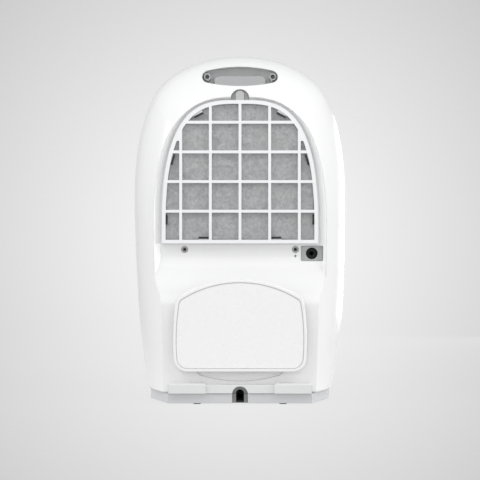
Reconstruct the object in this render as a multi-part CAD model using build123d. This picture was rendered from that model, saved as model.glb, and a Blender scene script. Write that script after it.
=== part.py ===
from build123d import *
import math
import os

# Compressor dehumidifier, millimetres. +Z up, front towards -Y, rear (air intake) towards +Y.
# Origin: floor point under the middle of the machine.

# ---- casing -------------------------------------------------------------------------------
height = 530.0            # floor to crown
foot_height = 2.0
base_height = 16.0
wall = 3.0                # casing wall
foot_half = 143.0         # half width of the casing at its lower edge
belly_half = 163.2        # half width at the widest level
belly_z = 245.0
shoulder_half = 144.0
shoulder_z = 447.0
crown_half = 99.4
crown_z = 503.4
shoulder_mid_half = 130.0
shoulder_mid_z = 475.0
flank_lean = 10.5         # degrees the flank leans out at its lower edge
lean_fade = 54.0          # inset at which the rear flank stands upright at its lower edge
rear_foot_share = 0.68    # share of the flank's inset that the rear lower edge takes
front_foot_share = 0.88
rear_depth = 134.0        # parting plane to the lower rear panel
front_depth = 150.0
rear_side_radius = 226.0
rear_top_radius = 137.0
front_side_radius = 260.0
front_top_radius = 200.0
front_edge_round = 12.0
seam_gap = 0.4            # visible groove between the two half shells
part_gap = 0.3            # clearance between neighbouring pieces
snug = 0.1                # clearance between fixed curved faces
inside_gap = 2.0          # inner plates stop this far short of the casing wall

# ---- rear recess that holds the filter ----------------------------------------------------
recess_floor_y = 112.0
recess_margin = 2.2       # floor outline beyond the filter outline
recess_flare = 1.3        # widening of the recess at its sides per mm towards the rear
recess_crown_flare = 0.3  # the same at its crown
recess_bulge = 1.25       # above 1 the rear outline of the recess is leaner at its shoulders
ramp_top_z = 218.0
ramp_foot_z = 145.0

# ---- filter -------------------------------------------------------------------------------
filter_half = 116.7
filter_low_z = 238.4
filter_spring_z = 262.0
filter_top_z = 452.6
filter_border = 5.6
filter_depth = 8.4
filter_stand_off = 1.3    # frame clear of the recess floor
bar_pitch = 44.3
bar_width = 4.4
bar_depth = 4.2
lowest_bar_rise = 48.2    # lower edge to the first cross bar
cross_bars = 4
web_height = 26.0
web_low_rise = 153.1
media_thick = 3.2
clip_length = 15.0
clip_width = 3.2
clip_thick = 2.0
pad_shift = 3.6           # how far a clip's seat reaches towards the border
hinge_y = 117.0
hinge_rise = 2.6          # hinge axis above the lower edge of the frame
hinge_pin_radius = 1.2
hinge_fit = 0.06
hinge_inner_x = 57.3      # bored stretch of the frame between its two ears
hinge_outer_x = 74.6
ear_width = 2.4
ear_radius = 2.2
ear_gap = 0.4             # between the ears' round tops and the frame
pull_half = 6.2
pull_rise = 14.5
pull_thick = 3.0
scoop_radius = 13.7
scoop_back_y = 100.0
scoop_floor_drop = 1.0    # flat foot of the scoop below the top of the filter

# ---- intake guard -------------------------------------------------------------------------
window_margin = 12.0
guard_thick = 2.5
guard_pitch = 24.0
guard_bar = 2.6

# ---- handle pocket ------------------------------------------------------------------------
grip_half = 57.3
grip_end_half = 49.0
grip_low_y = 110.0        # casing stations where the lower and upper lips lie
grip_high_y = 76.0
grip_bow = 5.8            # how much the lips bow away from the ends
pocket_back_y = 50.0
pocket_wall = 2.5
insert_half = 39.0
insert_rise = 17.5
insert_depth = 22.0
boss_x = 49.7
boss_radius = 5.1
boss_length = 26.0
grip_screw_radius = 3.4

# ---- lower rear details -------------------------------------------------------------------
case_screw_x = 83.0
case_screw_z = 229.5
screw_ring_radius = 5.2
screw_hole_radius = 2.4
screw_ring_depth = 1.5
screw_hole_depth = 6.0
screw_shank_radius = 1.5
vent_x = -83.0
vent_z = 219.6
vent_radius = 1.5
bump_z = 215.0
bump_half = 4.2
port_x = -107.8
port_z = 223.5
port_half_width = 16.5
port_half_height = 11.4
port_depth = 6.0
port_radius = 8.8
port_cup_wall = 2.4
port_cup_length = 16.0
barb_radius = 5.0
barb_bore = 3.2

# ---- cord tidy plate ----------------------------------------------------------------------
plate_half = 98.9
plate_low_z = 48.8
plate_high_z = 185.0
plate_low_half = 96.4
plate_shoulder_half = 94.0
plate_shoulder_z = 158.0
plate_low_round = 20.0
plate_high_round = 14.0
plate_stand_off = 8.6
plate_thick = 5.4
plate_rim = 4.4
cap_recess = 0.7
cap_thick = 2.2
cap_gap = 0.35
hub_inset = 24.0
tidy_screw_x = 52.0
tidy_screw_radius = 2.0
scallop_half = 63.9
scallop_bevel = (1.8, 2.5)   # where the slanted ends begin below the plate and end above the step
scallop_shoulder_half = 58.7
scallop_step = (48.4, 39.9)
scallop_low_z = 33.9
scallop_depth = 1.8

# ---- ledge, base, cable arch --------------------------------------------------------------
ledge_half = 106.7
ledge_reach = 12.0
ledge_top_z = 29.0
base_step = 2.0           # rabbet along the top of the base
block_inner_x = 50.6
block_reach = 16.0
block_top_z = 31.5
block_chamfer = 2.4
base_rear_reach = 10.0
base_corner_half = 136.3
base_corner_y = 57.0
base_middle_half = 139.3
base_end_half = 106.5
base_wall = 3.0
lip_height = 5.0
lip_wall = 2.0
arch_half = 11.6
arch_top_z = 27.0
arch_depth = 9.0
channel_half = 5.9
channel_top_z = 22.0
gland_bore = 4.0
gland_z = 12.0
gland_length = 16.0
foot_radius = 6.0
foot_x = 64.0
foot_rear_y = 130.0
foot_front_y = 122.0

# ---- front --------------------------------------------------------------------------------
fascia_half = 94.0
fascia_low_z = 30.0
fascia_high_z = 202.0
fascia_corner = 9.0
fascia_thick = 4.0
pull_cut_half = 34.0
pull_cut_drop = 20.0
pull_cut_depth = 7.5
grille_half = 85.0
grille_low_z = 262.0
grille_high_z = 372.0
grille_corner = 8.0
grille_border = 4.0
grille_depth = 5.0
slat_count = 11
slat_thick = 1.8
panel_front_y = -108.0
panel_rear_y = -62.0
panel_half = 66.0
panel_corner = 9.0
panel_thick = 2.5
skirt_wall = 2.0
skirt_depth = 14.0
board_drop = 19.0         # control board below the panel chord
board_thick = 1.6
button_radius = 5.5
button_rise = 0.6
button_travel = 1.5
button_xs = {"button_power": 50.0, "button_mode": 34.0, "button_fan": 18.0}
button_v = -5.0
switch_half = 3.0
knob_x = -43.0
knob_radius = 14.0
knob_rise = 9.0
knob_shaft_radius = 3.0
shaft_fit = 0.06
lens_x = -9.0
lens_half = 15.0
lens_half_height = 8.0
led_radius = 1.2
led_v = 9.0

# ---- bucket -------------------------------------------------------------------------------
bucket_half = 92.0
bucket_rear_y = -6.0
bucket_low_z = 31.0
bucket_high_z = 196.0
bucket_wall = 2.5
bucket_corner = 12.0
bucket_floor_round = 6.0
window_half = 9.0
window_low_z = 62.0
window_high_z = 162.0
float_pin_y = -22.0
float_pin_z = 180.0
float_pin_radius = 2.0
float_fit = 0.06
float_arm_x = -76.0
float_arm_half = 4.0
float_reach = 36.0
float_drop = 26.0
float_size = 28.0
magnet_radius = 3.0

# ---- inner structure ----------------------------------------------------------------------
bulkhead_y = 8.0
plate_sheet = 3.0
deck_z = 212.0
flange_height = 18.0
coil_half = 80.0
coil_low_z = 234.0
tube_count = 8
tube_pitch = 24.0
tube_radius = 4.0
fin_count = 26
fin_thick = 0.8
coil_depth = 22.0
evaporator_y = 83.0
condenser_y = 51.0
tray_half = 84.0
tray_wall = 2.0
tray_height = 14.0
spout_x = -50.0
spout_y = -30.0
spout_radius = 6.0
spout_channel_half = 10.0
compressor_x = 30.0
compressor_y = 70.0
compressor_radius = 52.0
compressor_low_z = 17.0
compressor_high_z = 190.0
compressor_dome = 32.0
compressor_sump = 9.0
compressor_seam_z = 112.0
bolt_circle = 57.0
grommet_radius = 6.5
bolt_radius = 3.0
suction_radius = 5.0
discharge_radius = 4.0
suction_riser_x = 112.0
discharge_riser_x = 106.0
liquid_x = 122.0
liquid_y = 62.0
liquid_radius = 3.0
capillary_radius = 1.5
drier_radius = 8.0
drier_length = 45.0
drier_low_z = 300.0
pipe_run_z = 203.0
capacitor_x = -80.0
capacitor_y = 78.0
capacitor_radius = 20.0
capacitor_height = 80.0
fan_z = 330.0
fan_radius = 85.0
fan_hub_radius = 26.0
fan_blades = 7
fan_low_y = 6.0
fan_length = 22.0
blade_pitch = 32.0
shroud_clearance = 3.0
shroud_y = 32.0
motor_radius = 42.0
motor_length = 40.0
motor_shaft_radius = 4.0
duct_half = 92.0
duct_high_z = 392.0
power_board_x = -100.0
power_board_z = 145.0

# ---- values that follow from the sizes above ----------------------------------------------
base_top = foot_height + base_height
filter_front_y = recess_floor_y + filter_stand_off
filter_rear_y = filter_front_y + filter_depth
filter_first_bar_z = filter_low_z + lowest_bar_rise
filter_web_z = filter_low_z + web_low_rise
hinge_z = filter_low_z + hinge_rise
scoop_z = filter_top_z + 2.9
plate_back_y = rear_depth + plate_stand_off
plate_face_y = plate_back_y + plate_thick
bucket_front_y = -front_depth + 12.0
deck_top = deck_z + plate_sheet
tube_low_z = coil_low_z + 10.0
tube_high_z = tube_low_z + (tube_count - 1) * tube_pitch
coil_high_z = tube_high_z + 12.0
base_floor_z = foot_height + base_wall
base_step_z = base_top - base_step
ledge_low_z = base_step_z + 2 * part_gap


# ---- small helpers ------------------------------------------------------------------------
def block(x, y, z):
    """Box between two limits along each axis."""
    size = (x[1] - x[0], y[1] - y[0], z[1] - z[0])
    return Pos((x[0] + x[1]) / 2, (y[0] + y[1]) / 2, (z[0] + z[1]) / 2) * Box(*size)


def rod_x(radius, x, y, z):
    return Pos((x[0] + x[1]) / 2, y, z) * Rot(0, 90, 0) * Cylinder(radius, x[1] - x[0])


def rod_y(radius, x, y, z):
    return Pos(x, (y[0] + y[1]) / 2, z) * Rot(90, 0, 0) * Cylinder(radius, y[1] - y[0])


def rod_z(radius, x, y, z):
    return Pos(x, y, (z[0] + z[1]) / 2) * Cylinder(radius, z[1] - z[0])


def prism_y(sketch, y):
    """Sketch drawn in the XZ plane, swept between two Y stations."""
    return extrude(Plane(origin=(0, y[0], 0), x_dir=(1, 0, 0), z_dir=(0, -1, 0)) * sketch,
                   amount=y[0] - y[1])


def prism_x(points, x):
    """Polygon of (y, z) points, swept between two X stations."""
    sketch = make_face(Polyline(*points, close=True))
    return extrude(Plane(origin=(x[0], 0, 0), x_dir=(0, 1, 0), z_dir=(1, 0, 0)) * sketch,
                   amount=x[1] - x[0])


def prism_z(points, z):
    sketch = make_face(Polyline(*points, close=True))
    return extrude(Pos(0, 0, z[0]) * sketch, amount=z[1] - z[0])


def rounded_plate(half_x, low_z, high_z, corner, y):
    sketch = Pos(0, (low_z + high_z) / 2) * RectangleRounded(2 * half_x, high_z - low_z, corner)
    return prism_y(sketch, y)


def pipe(points, radius, bends):
    path = FilletPolyline(*points, radius=bends)
    return sweep(Plane(origin=path @ 0, z_dir=path % 0) * Circle(radius), path=path)


def arc_inset(radius, offset, distance):
    """Inset of a round flank at a distance from the parting plane."""
    return radius - math.sqrt((radius - offset) ** 2 - distance ** 2)


# ---- casing surfaces ----------------------------------------------------------------------
def foot_inset(direction, offset, side_inset):
    """How far the lower edge of a half shell lies inside the foot of the widest outline."""
    share = rear_foot_share if direction > 0 else front_foot_share
    return offset + share * (side_inset - offset)


def casing_section(y, offset, side_inset, top_inset, drop, direction):
    """Closed outline of the casing at station y, scaled from the widest outline."""
    sx = 1 - side_inset / belly_half
    sz = 1 - top_inset / (height - base_top)
    lean = math.radians(flank_lean)
    if direction > 0:
        lean *= 1 - (side_inset - offset) / lean_fade
    foot = foot_half - foot_inset(direction, offset, side_inset) - drop * math.tan(lean)
    half = [
        (belly_half, belly_z),
        (shoulder_half, shoulder_z),
        (shoulder_mid_half, shoulder_mid_z),
        (crown_half, crown_z),
        (0, height),
    ]
    right = [(foot, base_top - drop * sz)]
    right += [(x * sx, base_top + (z - base_top) * sz) for x, z in half]
    points = right + [(-x, z) for x, z in reversed(right[:-1])]
    upwards = (math.sin(lean), 0, math.cos(lean))
    downwards = (math.sin(lean), 0, -math.cos(lean))
    shell = Spline(*[(x, y, z) for x, z in points], tangents=[upwards, downwards])
    low = right[0][1]
    return Wire([shell, Line((-foot, y, low), (foot, y, low))])


def half_body(offset, drop, depth, side_radius, top_radius, direction):
    """One half of the casing volume, moved inwards by offset."""
    end = depth - max(offset, 0)
    sections = []
    for share in (0, 0.28, 0.52, 0.72, 0.88, 1):
        reach = end * share
        side = arc_inset(side_radius, offset, reach)
        top = arc_inset(top_radius, offset, reach)
        sections.append(casing_section(direction * reach, offset, side, top, drop, direction))
    return Solid.make_loft(sections)


def rear_body(offset, drop=0):
    return half_body(offset, drop, rear_depth, rear_side_radius, rear_top_radius, 1)


def front_body(offset, drop=0):
    """Front half of the casing volume, with its front edge rounded."""
    body = half_body(offset, drop, front_depth, front_side_radius, front_top_radius, -1)
    edges = body.faces().sort_by(Axis.Y)[0].edges().filter_by(GeomType.LINE, reverse=True)
    return fillet(edges, front_edge_round - max(offset, 0))


def crown_height(y):
    """Height of the casing's crown line at station y."""
    radius = rear_top_radius if y > 0 else front_top_radius
    return height - arc_inset(radius, 0, abs(y))


def filter_outline(grow, crown_grow=None, bulge=1.0):
    """Arched outline of the filter, grown by a margin, and by another at the crown if one is given."""
    half = filter_half + grow
    rise = filter_top_z + (grow if crown_grow is None else crown_grow) - filter_spring_z
    points = []
    for step in range(10):
        angle = math.radians(10 * step)
        x = half * math.cos(angle) ** (0.618 * bulge)
        z = filter_spring_z + rise * math.sin(angle) ** (0.8 * bulge)
        points.append((x if step < 9 else 0, z))
    points += [(-x, z) for x, z in reversed(points[:-1])]
    low = filter_low_z - grow
    arch = Spline(*points, tangents=[(0, 1), (0, -1)])
    rest = Polyline((-half, filter_spring_z), (-half, low), (half, low), (half, filter_spring_z))
    return make_face([arch, *rest.edges()])


def recess_cutter(offset):
    """Space of the filter recess: flared arch above, ramp down to the lower panel."""
    floor_y = recess_floor_y - offset
    margin = recess_margin + offset
    reach = rear_depth - recess_floor_y + 4 * wall
    deep = filter_outline(margin)
    wide = filter_outline(margin + recess_flare * reach, margin + recess_crown_flare * reach, recess_bulge)
    drop = filter_low_z - base_top
    lower = [Pos(0, -drop) * Rectangle(2 * (filter_half + margin + grow), 2 * drop)
             for grow in (0, recess_flare * reach)]
    lower = [Pos(0, filter_low_z) * sketch for sketch in lower]
    upper = flared(deep, wide, floor_y, reach)
    below = flared(lower[0], lower[1], floor_y, reach)
    ramp = Spline(*ramp_points(offset), tangents=[(0, -1), (0, -1)])
    rear = rear_depth - offset
    rest = Polyline((rear, ramp_foot_z), (rear, ramp_foot_z - 1), (rear + wall, ramp_foot_z - 1),
                    (rear + wall, height), (floor_y, height), (floor_y, ramp_top_z))
    half = 2 * filter_half
    side = Plane(origin=(-half, 0, 0), x_dir=(0, 1, 0), z_dir=(1, 0, 0)) * make_face([ramp, *rest.edges()])
    return (upper + below) & extrude(side, amount=2 * half)


def ramp_points(offset):
    """Smooth fall from the recess floor to the lower rear panel, as (y, z), moved inwards by offset."""
    rise = rear_depth - recess_floor_y
    fall = ramp_top_z - ramp_foot_z
    points = []
    for step in range(9):
        turn = math.pi * step / 8
        lean = math.atan2(rise * math.pi / 2 * math.sin(turn), fall)
        y = recess_floor_y + rise * (1 - math.cos(turn)) / 2
        points.append((y - offset * math.cos(lean), ramp_top_z - fall * step / 8 - offset * math.sin(lean)))
    return points


def flared(deep, wide, floor_y, reach):
    """Straight-sided loft from a deep outline to a wider one nearer the rear."""
    near = Plane(origin=(0, floor_y, 0), x_dir=(1, 0, 0), z_dir=(0, -1, 0)) * deep
    far = Plane(origin=(0, floor_y + reach, 0), x_dir=(1, 0, 0), z_dir=(0, -1, 0)) * wide
    return loft([near.face(), far.face()], ruled=True)


def scoop_cutter(offset):
    reach = (scoop_back_y - offset, rear_depth + wall)
    low = filter_top_z - scoop_floor_drop - offset
    return rod_y(scoop_radius + offset, 0, reach, scoop_z) & block((-height, height), reach, (low, height))


def port_cutter(offset, extra):
    half = port_half_width + extra
    tall = port_half_height + extra
    sketch = Pos(port_x, port_z) * RectangleRounded(2 * half, 2 * tall, 1.8 + extra)
    return prism_y(sketch, (recess_floor_y - port_depth - offset, rear_depth))


def scallop_cutter(offset):
    low = scallop_low_z - offset
    high = plate_low_z + 2 * wall
    step_x, step_z = scallop_step
    ends = [(scallop_half + offset, high), (scallop_half + offset, plate_low_z - scallop_bevel[0]),
            (scallop_shoulder_half + offset, step_z + scallop_bevel[1] - offset), (step_x, step_z - offset)]
    right = Polyline(*ends)
    left = Polyline(*[(-x, z) for x, z in ends])
    arc = ThreePointArc((-step_x, step_z - offset), (0, low), (step_x, step_z - offset))
    sketch = make_face([arc, *right.edges(), *left.edges(), Line((scallop_half + offset, high),
                                                                 (-scallop_half - offset, high))])
    return prism_y(sketch, (rear_depth - scallop_depth - offset, rear_depth + wall))


def screw_cutter(side, offset):
    x = side * case_screw_x
    if offset:
        reach = (recess_floor_y - screw_hole_depth - offset, rear_depth)
        return rod_y(screw_ring_radius + 1.2, x, reach, case_screw_z)
    ring = rod_y(screw_ring_radius, x, (recess_floor_y - screw_ring_depth, rear_depth), case_screw_z)
    hole = rod_y(screw_hole_radius, x, (recess_floor_y - screw_hole_depth, rear_depth), case_screw_z)
    return ring + hole


def grip_outline(grow):
    """Lens-shaped mouth of the handle pocket, in the XZ plane."""
    low = crown_height(grip_low_y) - grow
    high = crown_height(grip_high_y) + grow
    end = grip_end_half
    lower = ThreePointArc((-end, low + grip_bow), (0, low), (end, low + grip_bow))
    upper = ThreePointArc((-end, high - grip_bow), (0, high), (end, high - grip_bow))
    middle = (low + high) / 2
    reach = grip_half + grow
    ends = [ThreePointArc((side * end, low + grip_bow), (side * reach, middle), (side * end, high - grip_bow))
            for side in (-1, 1)]
    return make_face([lower, upper, *ends])


def rear_inner(offset):
    """Free space behind the rear shell."""
    space = rear_body(offset, drop=8) - recess_cutter(offset)
    for cutter in (scoop_cutter(offset), port_cutter(offset, 2.0), scallop_cutter(offset)):
        space -= cutter
    for side in (-1, 1):
        space -= screw_cutter(side, offset - wall + 2.0)
    return space


def casing_plan(inset):
    """Plan outline of the casing at its lower edge."""
    points = []
    for share in (1, 0.75, 0.5, 0.25, 0):
        y = (rear_depth - inset) * share
        x = foot_half - foot_inset(1, 0, arc_inset(rear_side_radius, 0, y))
        points.append((x - inset, y))
    for share in (0.3, 0.6, 0.85):
        y = front_depth * share
        x = foot_half - foot_inset(-1, 0, arc_inset(front_side_radius, 0, y))
        points.append((x - inset, -y))
    end = front_depth - front_edge_round / 2
    x = foot_half - foot_inset(-1, 0, arc_inset(front_side_radius, 0, front_depth - front_edge_round))
    points.append((x - inset - front_edge_round / 2, inset - end))
    return points + [(-x, y) for x, y in reversed(points)]


def cable_cutter():
    """Arch and channel for the cord, through the ledge and the base."""
    rear = rear_depth + block_reach + 2.0
    mouth_y = rear_depth + base_rear_reach + 2.0 - arch_depth
    mouth = rod_y(arch_half, 0, (mouth_y, rear), arch_top_z - arch_half)
    mouth += block((-arch_half, arch_half), (mouth_y, rear), (0, arch_top_z - arch_half))
    throat_y = rear_depth - gland_length - 2.0
    throat = rod_y(channel_half, 0, (throat_y, rear), channel_top_z - channel_half)
    throat += block((-channel_half, channel_half), (throat_y, rear), (base_floor_z, channel_top_z - channel_half))
    throat += block((-channel_half, channel_half), (mouth_y - 2.0, rear), (0, channel_half))
    return mouth + throat


# ---- casing pieces ------------------------------------------------------------------------
def make_rear_cover(inner):
    shell = rear_body(0) - recess_cutter(0)
    for cutter in (scoop_cutter(0), port_cutter(0, 0), scallop_cutter(0)):
        shell -= cutter
    for side in (-1, 1):
        shell -= screw_cutter(side, 0)
        sink = recess_floor_y - screw_hole_depth
        shell -= rod_y(screw_shank_radius + 0.1, side * case_screw_x, (sink - wall, sink), case_screw_z)
    shell -= inner
    shell -= block((-height, height), (-1, seam_gap / 2), (0, 2 * height))
    shell -= prism_y(grip_outline(0), (pocket_back_y, rear_depth + wall))
    shell -= rod_y(vent_radius, vent_x, (recess_floor_y - 2 * wall, rear_depth), vent_z)
    cup = port_radius + port_cup_wall + part_gap
    shell -= rod_y(cup, port_x, (recess_floor_y - port_depth - 2 * wall, recess_floor_y), port_z)
    window = filter_outline(-window_margin)
    shell -= prism_y(window, (recess_floor_y - 2 * wall, recess_floor_y + 1))
    shell += Pos(0, recess_floor_y, bump_z) * scale(Sphere(bump_half), (1, 0.5, 0.7))
    shell -= cable_cutter()
    for side in (-1, 1):
        for x in ear_spans(side):
            shell += make_ear(x)
        shell -= rod_y(tidy_screw_radius, side * tidy_screw_x, (rear_depth - 2 * wall, rear_depth + 1),
                       (plate_low_z + plate_high_z) / 2)
    return shell


def ear_spans(side):
    """X limits of the two hinge ears on one side."""
    inner = (hinge_inner_x - part_gap - ear_width, hinge_inner_x - part_gap)
    outer = (hinge_outer_x + part_gap, hinge_outer_x + part_gap + ear_width)
    return [sorted((side * low, side * high)) for low, high in (inner, outer)]


def make_ear(x):
    """One hinge ear standing on the recess floor, bored for the pin."""
    ear = block(x, (recess_floor_y - wall / 2, hinge_y), (hinge_z - ear_radius, hinge_z + ear_radius))
    ear += rod_x(ear_radius, x, hinge_y, hinge_z)
    return ear - rod_x(hinge_pin_radius, x, hinge_y, hinge_z)


def make_ledge():
    """Shelf along the foot of the rear panel, with two raised blocks and the cord's arch."""
    shelf = block((-ledge_half, ledge_half), (rear_depth, rear_depth + ledge_reach), (ledge_low_z, ledge_top_z))
    shelf = chamfer(shelf.edges().group_by(Axis.Y)[-1].group_by(Axis.Z)[-1], 1.2)
    for side in (-1, 1):
        x = sorted((side * block_inner_x, side * (ledge_half - 0.8)))
        raised = block(x, (rear_depth, rear_depth + block_reach), (ledge_low_z, block_top_z))
        upper = raised.edges().group_by(Axis.Y)[-1].group_by(Axis.Z)[-1]
        ends = raised.faces().sort_by(Axis.Z)[-1].edges().filter_by(Axis.Y)
        shelf += chamfer(upper + ends, block_chamfer)
    return shelf - cable_cutter()


def make_front_cover():
    shell = front_body(0) - front_body(wall, drop=8)
    shell -= block((-height, height), (-seam_gap / 2, 1), (0, 2 * height))
    through = (-front_depth - 2, -front_depth + 2 * wall)
    gap = part_gap * 2
    shell -= rounded_plate(fascia_half + gap, fascia_low_z - gap, fascia_high_z + gap, fascia_corner + gap,
                           (-front_depth - 2, bucket_front_y + 2))
    shell -= rounded_plate(grille_half, grille_low_z, grille_high_z, grille_corner, through)
    shell -= panel_prism(part_gap)
    return shell


def panel_frame():
    """Local frame on the control panel: x along X, z along the panel's normal."""
    front = (panel_front_y, crown_height(panel_front_y))
    rear = (panel_rear_y, crown_height(panel_rear_y))
    tilt = math.atan2(rear[1] - front[1], rear[0] - front[0])
    middle = (0, (front[0] + rear[0]) / 2, (front[1] + rear[1]) / 2)
    half_chord = math.hypot(rear[0] - front[0], rear[1] - front[1]) / 2
    return Plane(origin=middle, x_dir=(1, 0, 0), z_dir=(0, -math.sin(tilt), math.cos(tilt))), half_chord


def panel_prism(grow, depth=40.0):
    frame, half_chord = panel_frame()
    sketch = RectangleRounded(2 * (panel_half + grow), 2 * (half_chord + grow), panel_corner + grow)
    return extrude(frame * Pos(0, 0, -depth) * sketch, amount=depth + 20.0)


def panel_rod(radius, x, v, low, high):
    frame, _ = panel_frame()
    return extrude(frame * Pos(x, v, low) * Circle(radius), amount=high - low)


def panel_block(half_x, half_v, x, v, low, high):
    frame, _ = panel_frame()
    return extrude(frame * Pos(x, v, low) * Rectangle(2 * half_x, 2 * half_v), amount=high - low)


def make_control_panel():
    frame, half_chord = panel_frame()
    hollow = panel_prism(-skirt_wall) & front_body(panel_thick)
    panel = (panel_prism(0, depth=skirt_depth) & front_body(0)) - hollow
    flange = (panel_prism(5.0) & front_body(wall)) - front_body(wall + 2.0)
    panel += flange - panel_prism(-skirt_wall)
    low = board_thick - board_drop
    for x in (-panel_half + 7, panel_half - 7):
        for v in (-half_chord + 7, half_chord - 7):
            panel += panel_rod(3.0, x, v, low, 8.0) & front_body(panel_thick / 2)
    for x in button_xs.values():
        panel -= panel_rod(button_radius + part_gap, x, button_v, -30.0, 10.0)
        panel -= panel_rod(led_radius, x, led_v, -30.0, 10.0)
    panel -= panel_rod(knob_radius + part_gap, knob_x, 0, -30.0, 10.0)
    panel -= panel_block(lens_half, lens_half_height, lens_x, 2.0, -30.0, 10.0)
    return panel


def make_button(x):
    top = panel_rod(button_radius, x, button_v, board_thick - board_drop + 4.6, 10.0)
    return top & front_body(-button_rise)


def make_knob():
    knob = panel_rod(knob_radius, knob_x, 0, -9.0, knob_rise)
    edges = knob.edges().filter_by(GeomType.CIRCLE).sort_by(Axis.Z)
    knob = chamfer(edges[-1], 1.2)
    for step in range(24):
        angle = math.radians(15 * step)
        x = knob_x + knob_radius * math.cos(angle)
        knob -= panel_rod(0.8, x, knob_radius * math.sin(angle), -4.0, knob_rise + 1)
    knob -= panel_block(0.8, 4.5, knob_x, knob_radius - 6.0, knob_rise - 0.8, knob_rise + 1)
    return knob + panel_rod(knob_shaft_radius, knob_x, 0, board_thick - board_drop + 1.0, -8.0)


def make_control_board():
    frame, half_chord = panel_frame()
    low = -board_drop
    high = board_thick - board_drop
    board = panel_block(panel_half - 4, half_chord - 4, 0, 0, low, high)
    for x in button_xs.values():
        board += panel_block(switch_half, switch_half, x, button_v, high, high + 4.6 - button_travel - part_gap)
        board += panel_rod(led_radius, x, led_v, high, high + 1.5)
    sensor = panel_block(7.0, 7.0, knob_x, 0, high, high + 6.0)
    sensor -= panel_rod(knob_shaft_radius + shaft_fit, knob_x, 0, high, high + 7.0)
    return board + sensor


def make_leds():
    high = board_thick - board_drop + 1.5
    return [panel_rod(led_radius, x, led_v, high, 10.0) & front_body(-0.2) for x in button_xs.values()]


def make_lens():
    lens = panel_block(lens_half, lens_half_height, lens_x, 2.0, -30.0, 10.0) & front_body(0.3)
    return lens - front_body(panel_thick + 0.5)


def make_base():
    rear = rear_depth + base_rear_reach
    corner = base_corner_half
    plan = [(base_end_half, rear), (corner, base_corner_y), (base_middle_half, 0), (corner, -base_corner_y),
            (base_end_half, -front_depth + 10)]
    plan += [(-x, y) for x, y in reversed(plan)]
    tray = prism_z(plan, (foot_height, base_step_z))
    tray += prism_z(casing_plan(wall / 2), (base_step_z, base_top))
    tray -= prism_z(casing_plan(wall + 9.5), (base_floor_z, base_top))
    lip_inset = wall + 2 * part_gap
    lip = prism_z(casing_plan(lip_inset), (base_top, base_top + lip_height))
    tray += lip - prism_z(casing_plan(lip_inset + lip_wall), (base_top, base_top + lip_height))
    for side in (-1, 1):
        x = sorted((side * 56, side * 60))
        tray += block(x, (bucket_front_y + 8, bucket_rear_y - 4), (base_floor_z, bucket_low_z - part_gap))
    opening = fascia_half + 2 * part_gap
    tray -= block((-opening, opening), (-front_depth, bucket_front_y + 8), (base_top, base_top + 6))
    return tray - cable_cutter()


def make_feet():
    feet = []
    for x in (-foot_x, foot_x):
        for y in (-foot_front_y, foot_rear_y):
            foot = rod_z(foot_radius, x, y, (0, foot_height))
            feet.append(chamfer(foot.edges().group_by(Axis.Z)[0], 0.6))
    return feet


def make_gland():
    body = block((-channel_half + part_gap, channel_half - part_gap),
                 (rear_depth - gland_length, rear_depth), (base_floor_z, channel_top_z - part_gap - 2))
    body = fillet(body.edges().filter_by(Axis.Y).group_by(Axis.Z)[-1], 3.0)
    return body - rod_y(gland_bore, 0, (rear_depth - gland_length, rear_depth), gland_z)


def make_handle_liner(inner):
    cup = prism_y(grip_outline(pocket_wall), (pocket_back_y - pocket_wall, rear_depth)) & inner
    cup -= prism_y(grip_outline(0), (pocket_back_y, rear_depth + wall))
    middle = grip_middle_z()
    for side in (-1, 1):
        boss = rod_y(boss_radius, side * boss_x, (pocket_back_y, pocket_back_y + boss_length), middle)
        cup += boss - rod_y(grip_screw_radius, side * boss_x,
                            (pocket_back_y + 6, pocket_back_y + boss_length), middle)
    return cup


def grip_middle_z():
    return (crown_height(grip_low_y) + crown_height(grip_high_y)) / 2 + 1.0


def make_handle_grip():
    low = crown_height(grip_low_y) + part_gap
    sketch = Pos(0, low + insert_rise / 2 + 0.5) * RectangleRounded(2 * insert_half, insert_rise, 7.5)
    sketch = sketch & grip_outline(-part_gap)
    return prism_y(sketch, (pocket_back_y, pocket_back_y + insert_depth))


def make_handle_screws():
    screws = []
    for side in (-1, 1):
        y = pocket_back_y + 6
        head = rod_y(grip_screw_radius - 0.4, side * boss_x, (y, y + 2.4), grip_middle_z())
        head -= block((side * boss_x - 2, side * boss_x + 2), (y + 1.4, y + 2.4),
                      (grip_middle_z() - 0.4, grip_middle_z() + 0.4))
        head -= block((side * boss_x - 0.4, side * boss_x + 0.4), (y + 1.4, y + 2.4),
                      (grip_middle_z() - 2, grip_middle_z() + 2))
        screws.append(head)
    return screws


def make_case_screws():
    screws = []
    sink = recess_floor_y - screw_hole_depth
    for side in (-1, 1):
        head = rod_y(screw_hole_radius - 0.2, side * case_screw_x, (sink, sink + 2), case_screw_z)
        slot = block((side * case_screw_x - 1.6, side * case_screw_x + 1.6), (sink + 1.2, sink + 2),
                     (case_screw_z - 0.35, case_screw_z + 0.35))
        shank = rod_y(screw_shank_radius, side * case_screw_x, (sink - 8, sink), case_screw_z)
        screws.append(head - slot + shank)
    return screws


# ---- filter -------------------------------------------------------------------------------
def clip_places():
    """Centre and lean of each filter clip: x, z, degrees."""
    side = filter_half - filter_border - clip_width / 2
    places = [(side, filter_low_z + 35.7, 90), (side - 9.2, filter_spring_z + 101.1, 74),
              (61.5, filter_top_z - 22.5, 28), (54.2, filter_low_z + 8.6, 0)]
    mirrored = [(-x, z, -lean) for x, z, lean in places]
    return places + mirrored


def make_clip(x, z, lean, grow, y):
    body = Box(clip_length + 2 * grow, y[1] - y[0], clip_width + 2 * grow)
    return Pos(x, (y[0] + y[1]) / 2, z) * Rot(0, lean, 0) * body


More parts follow.
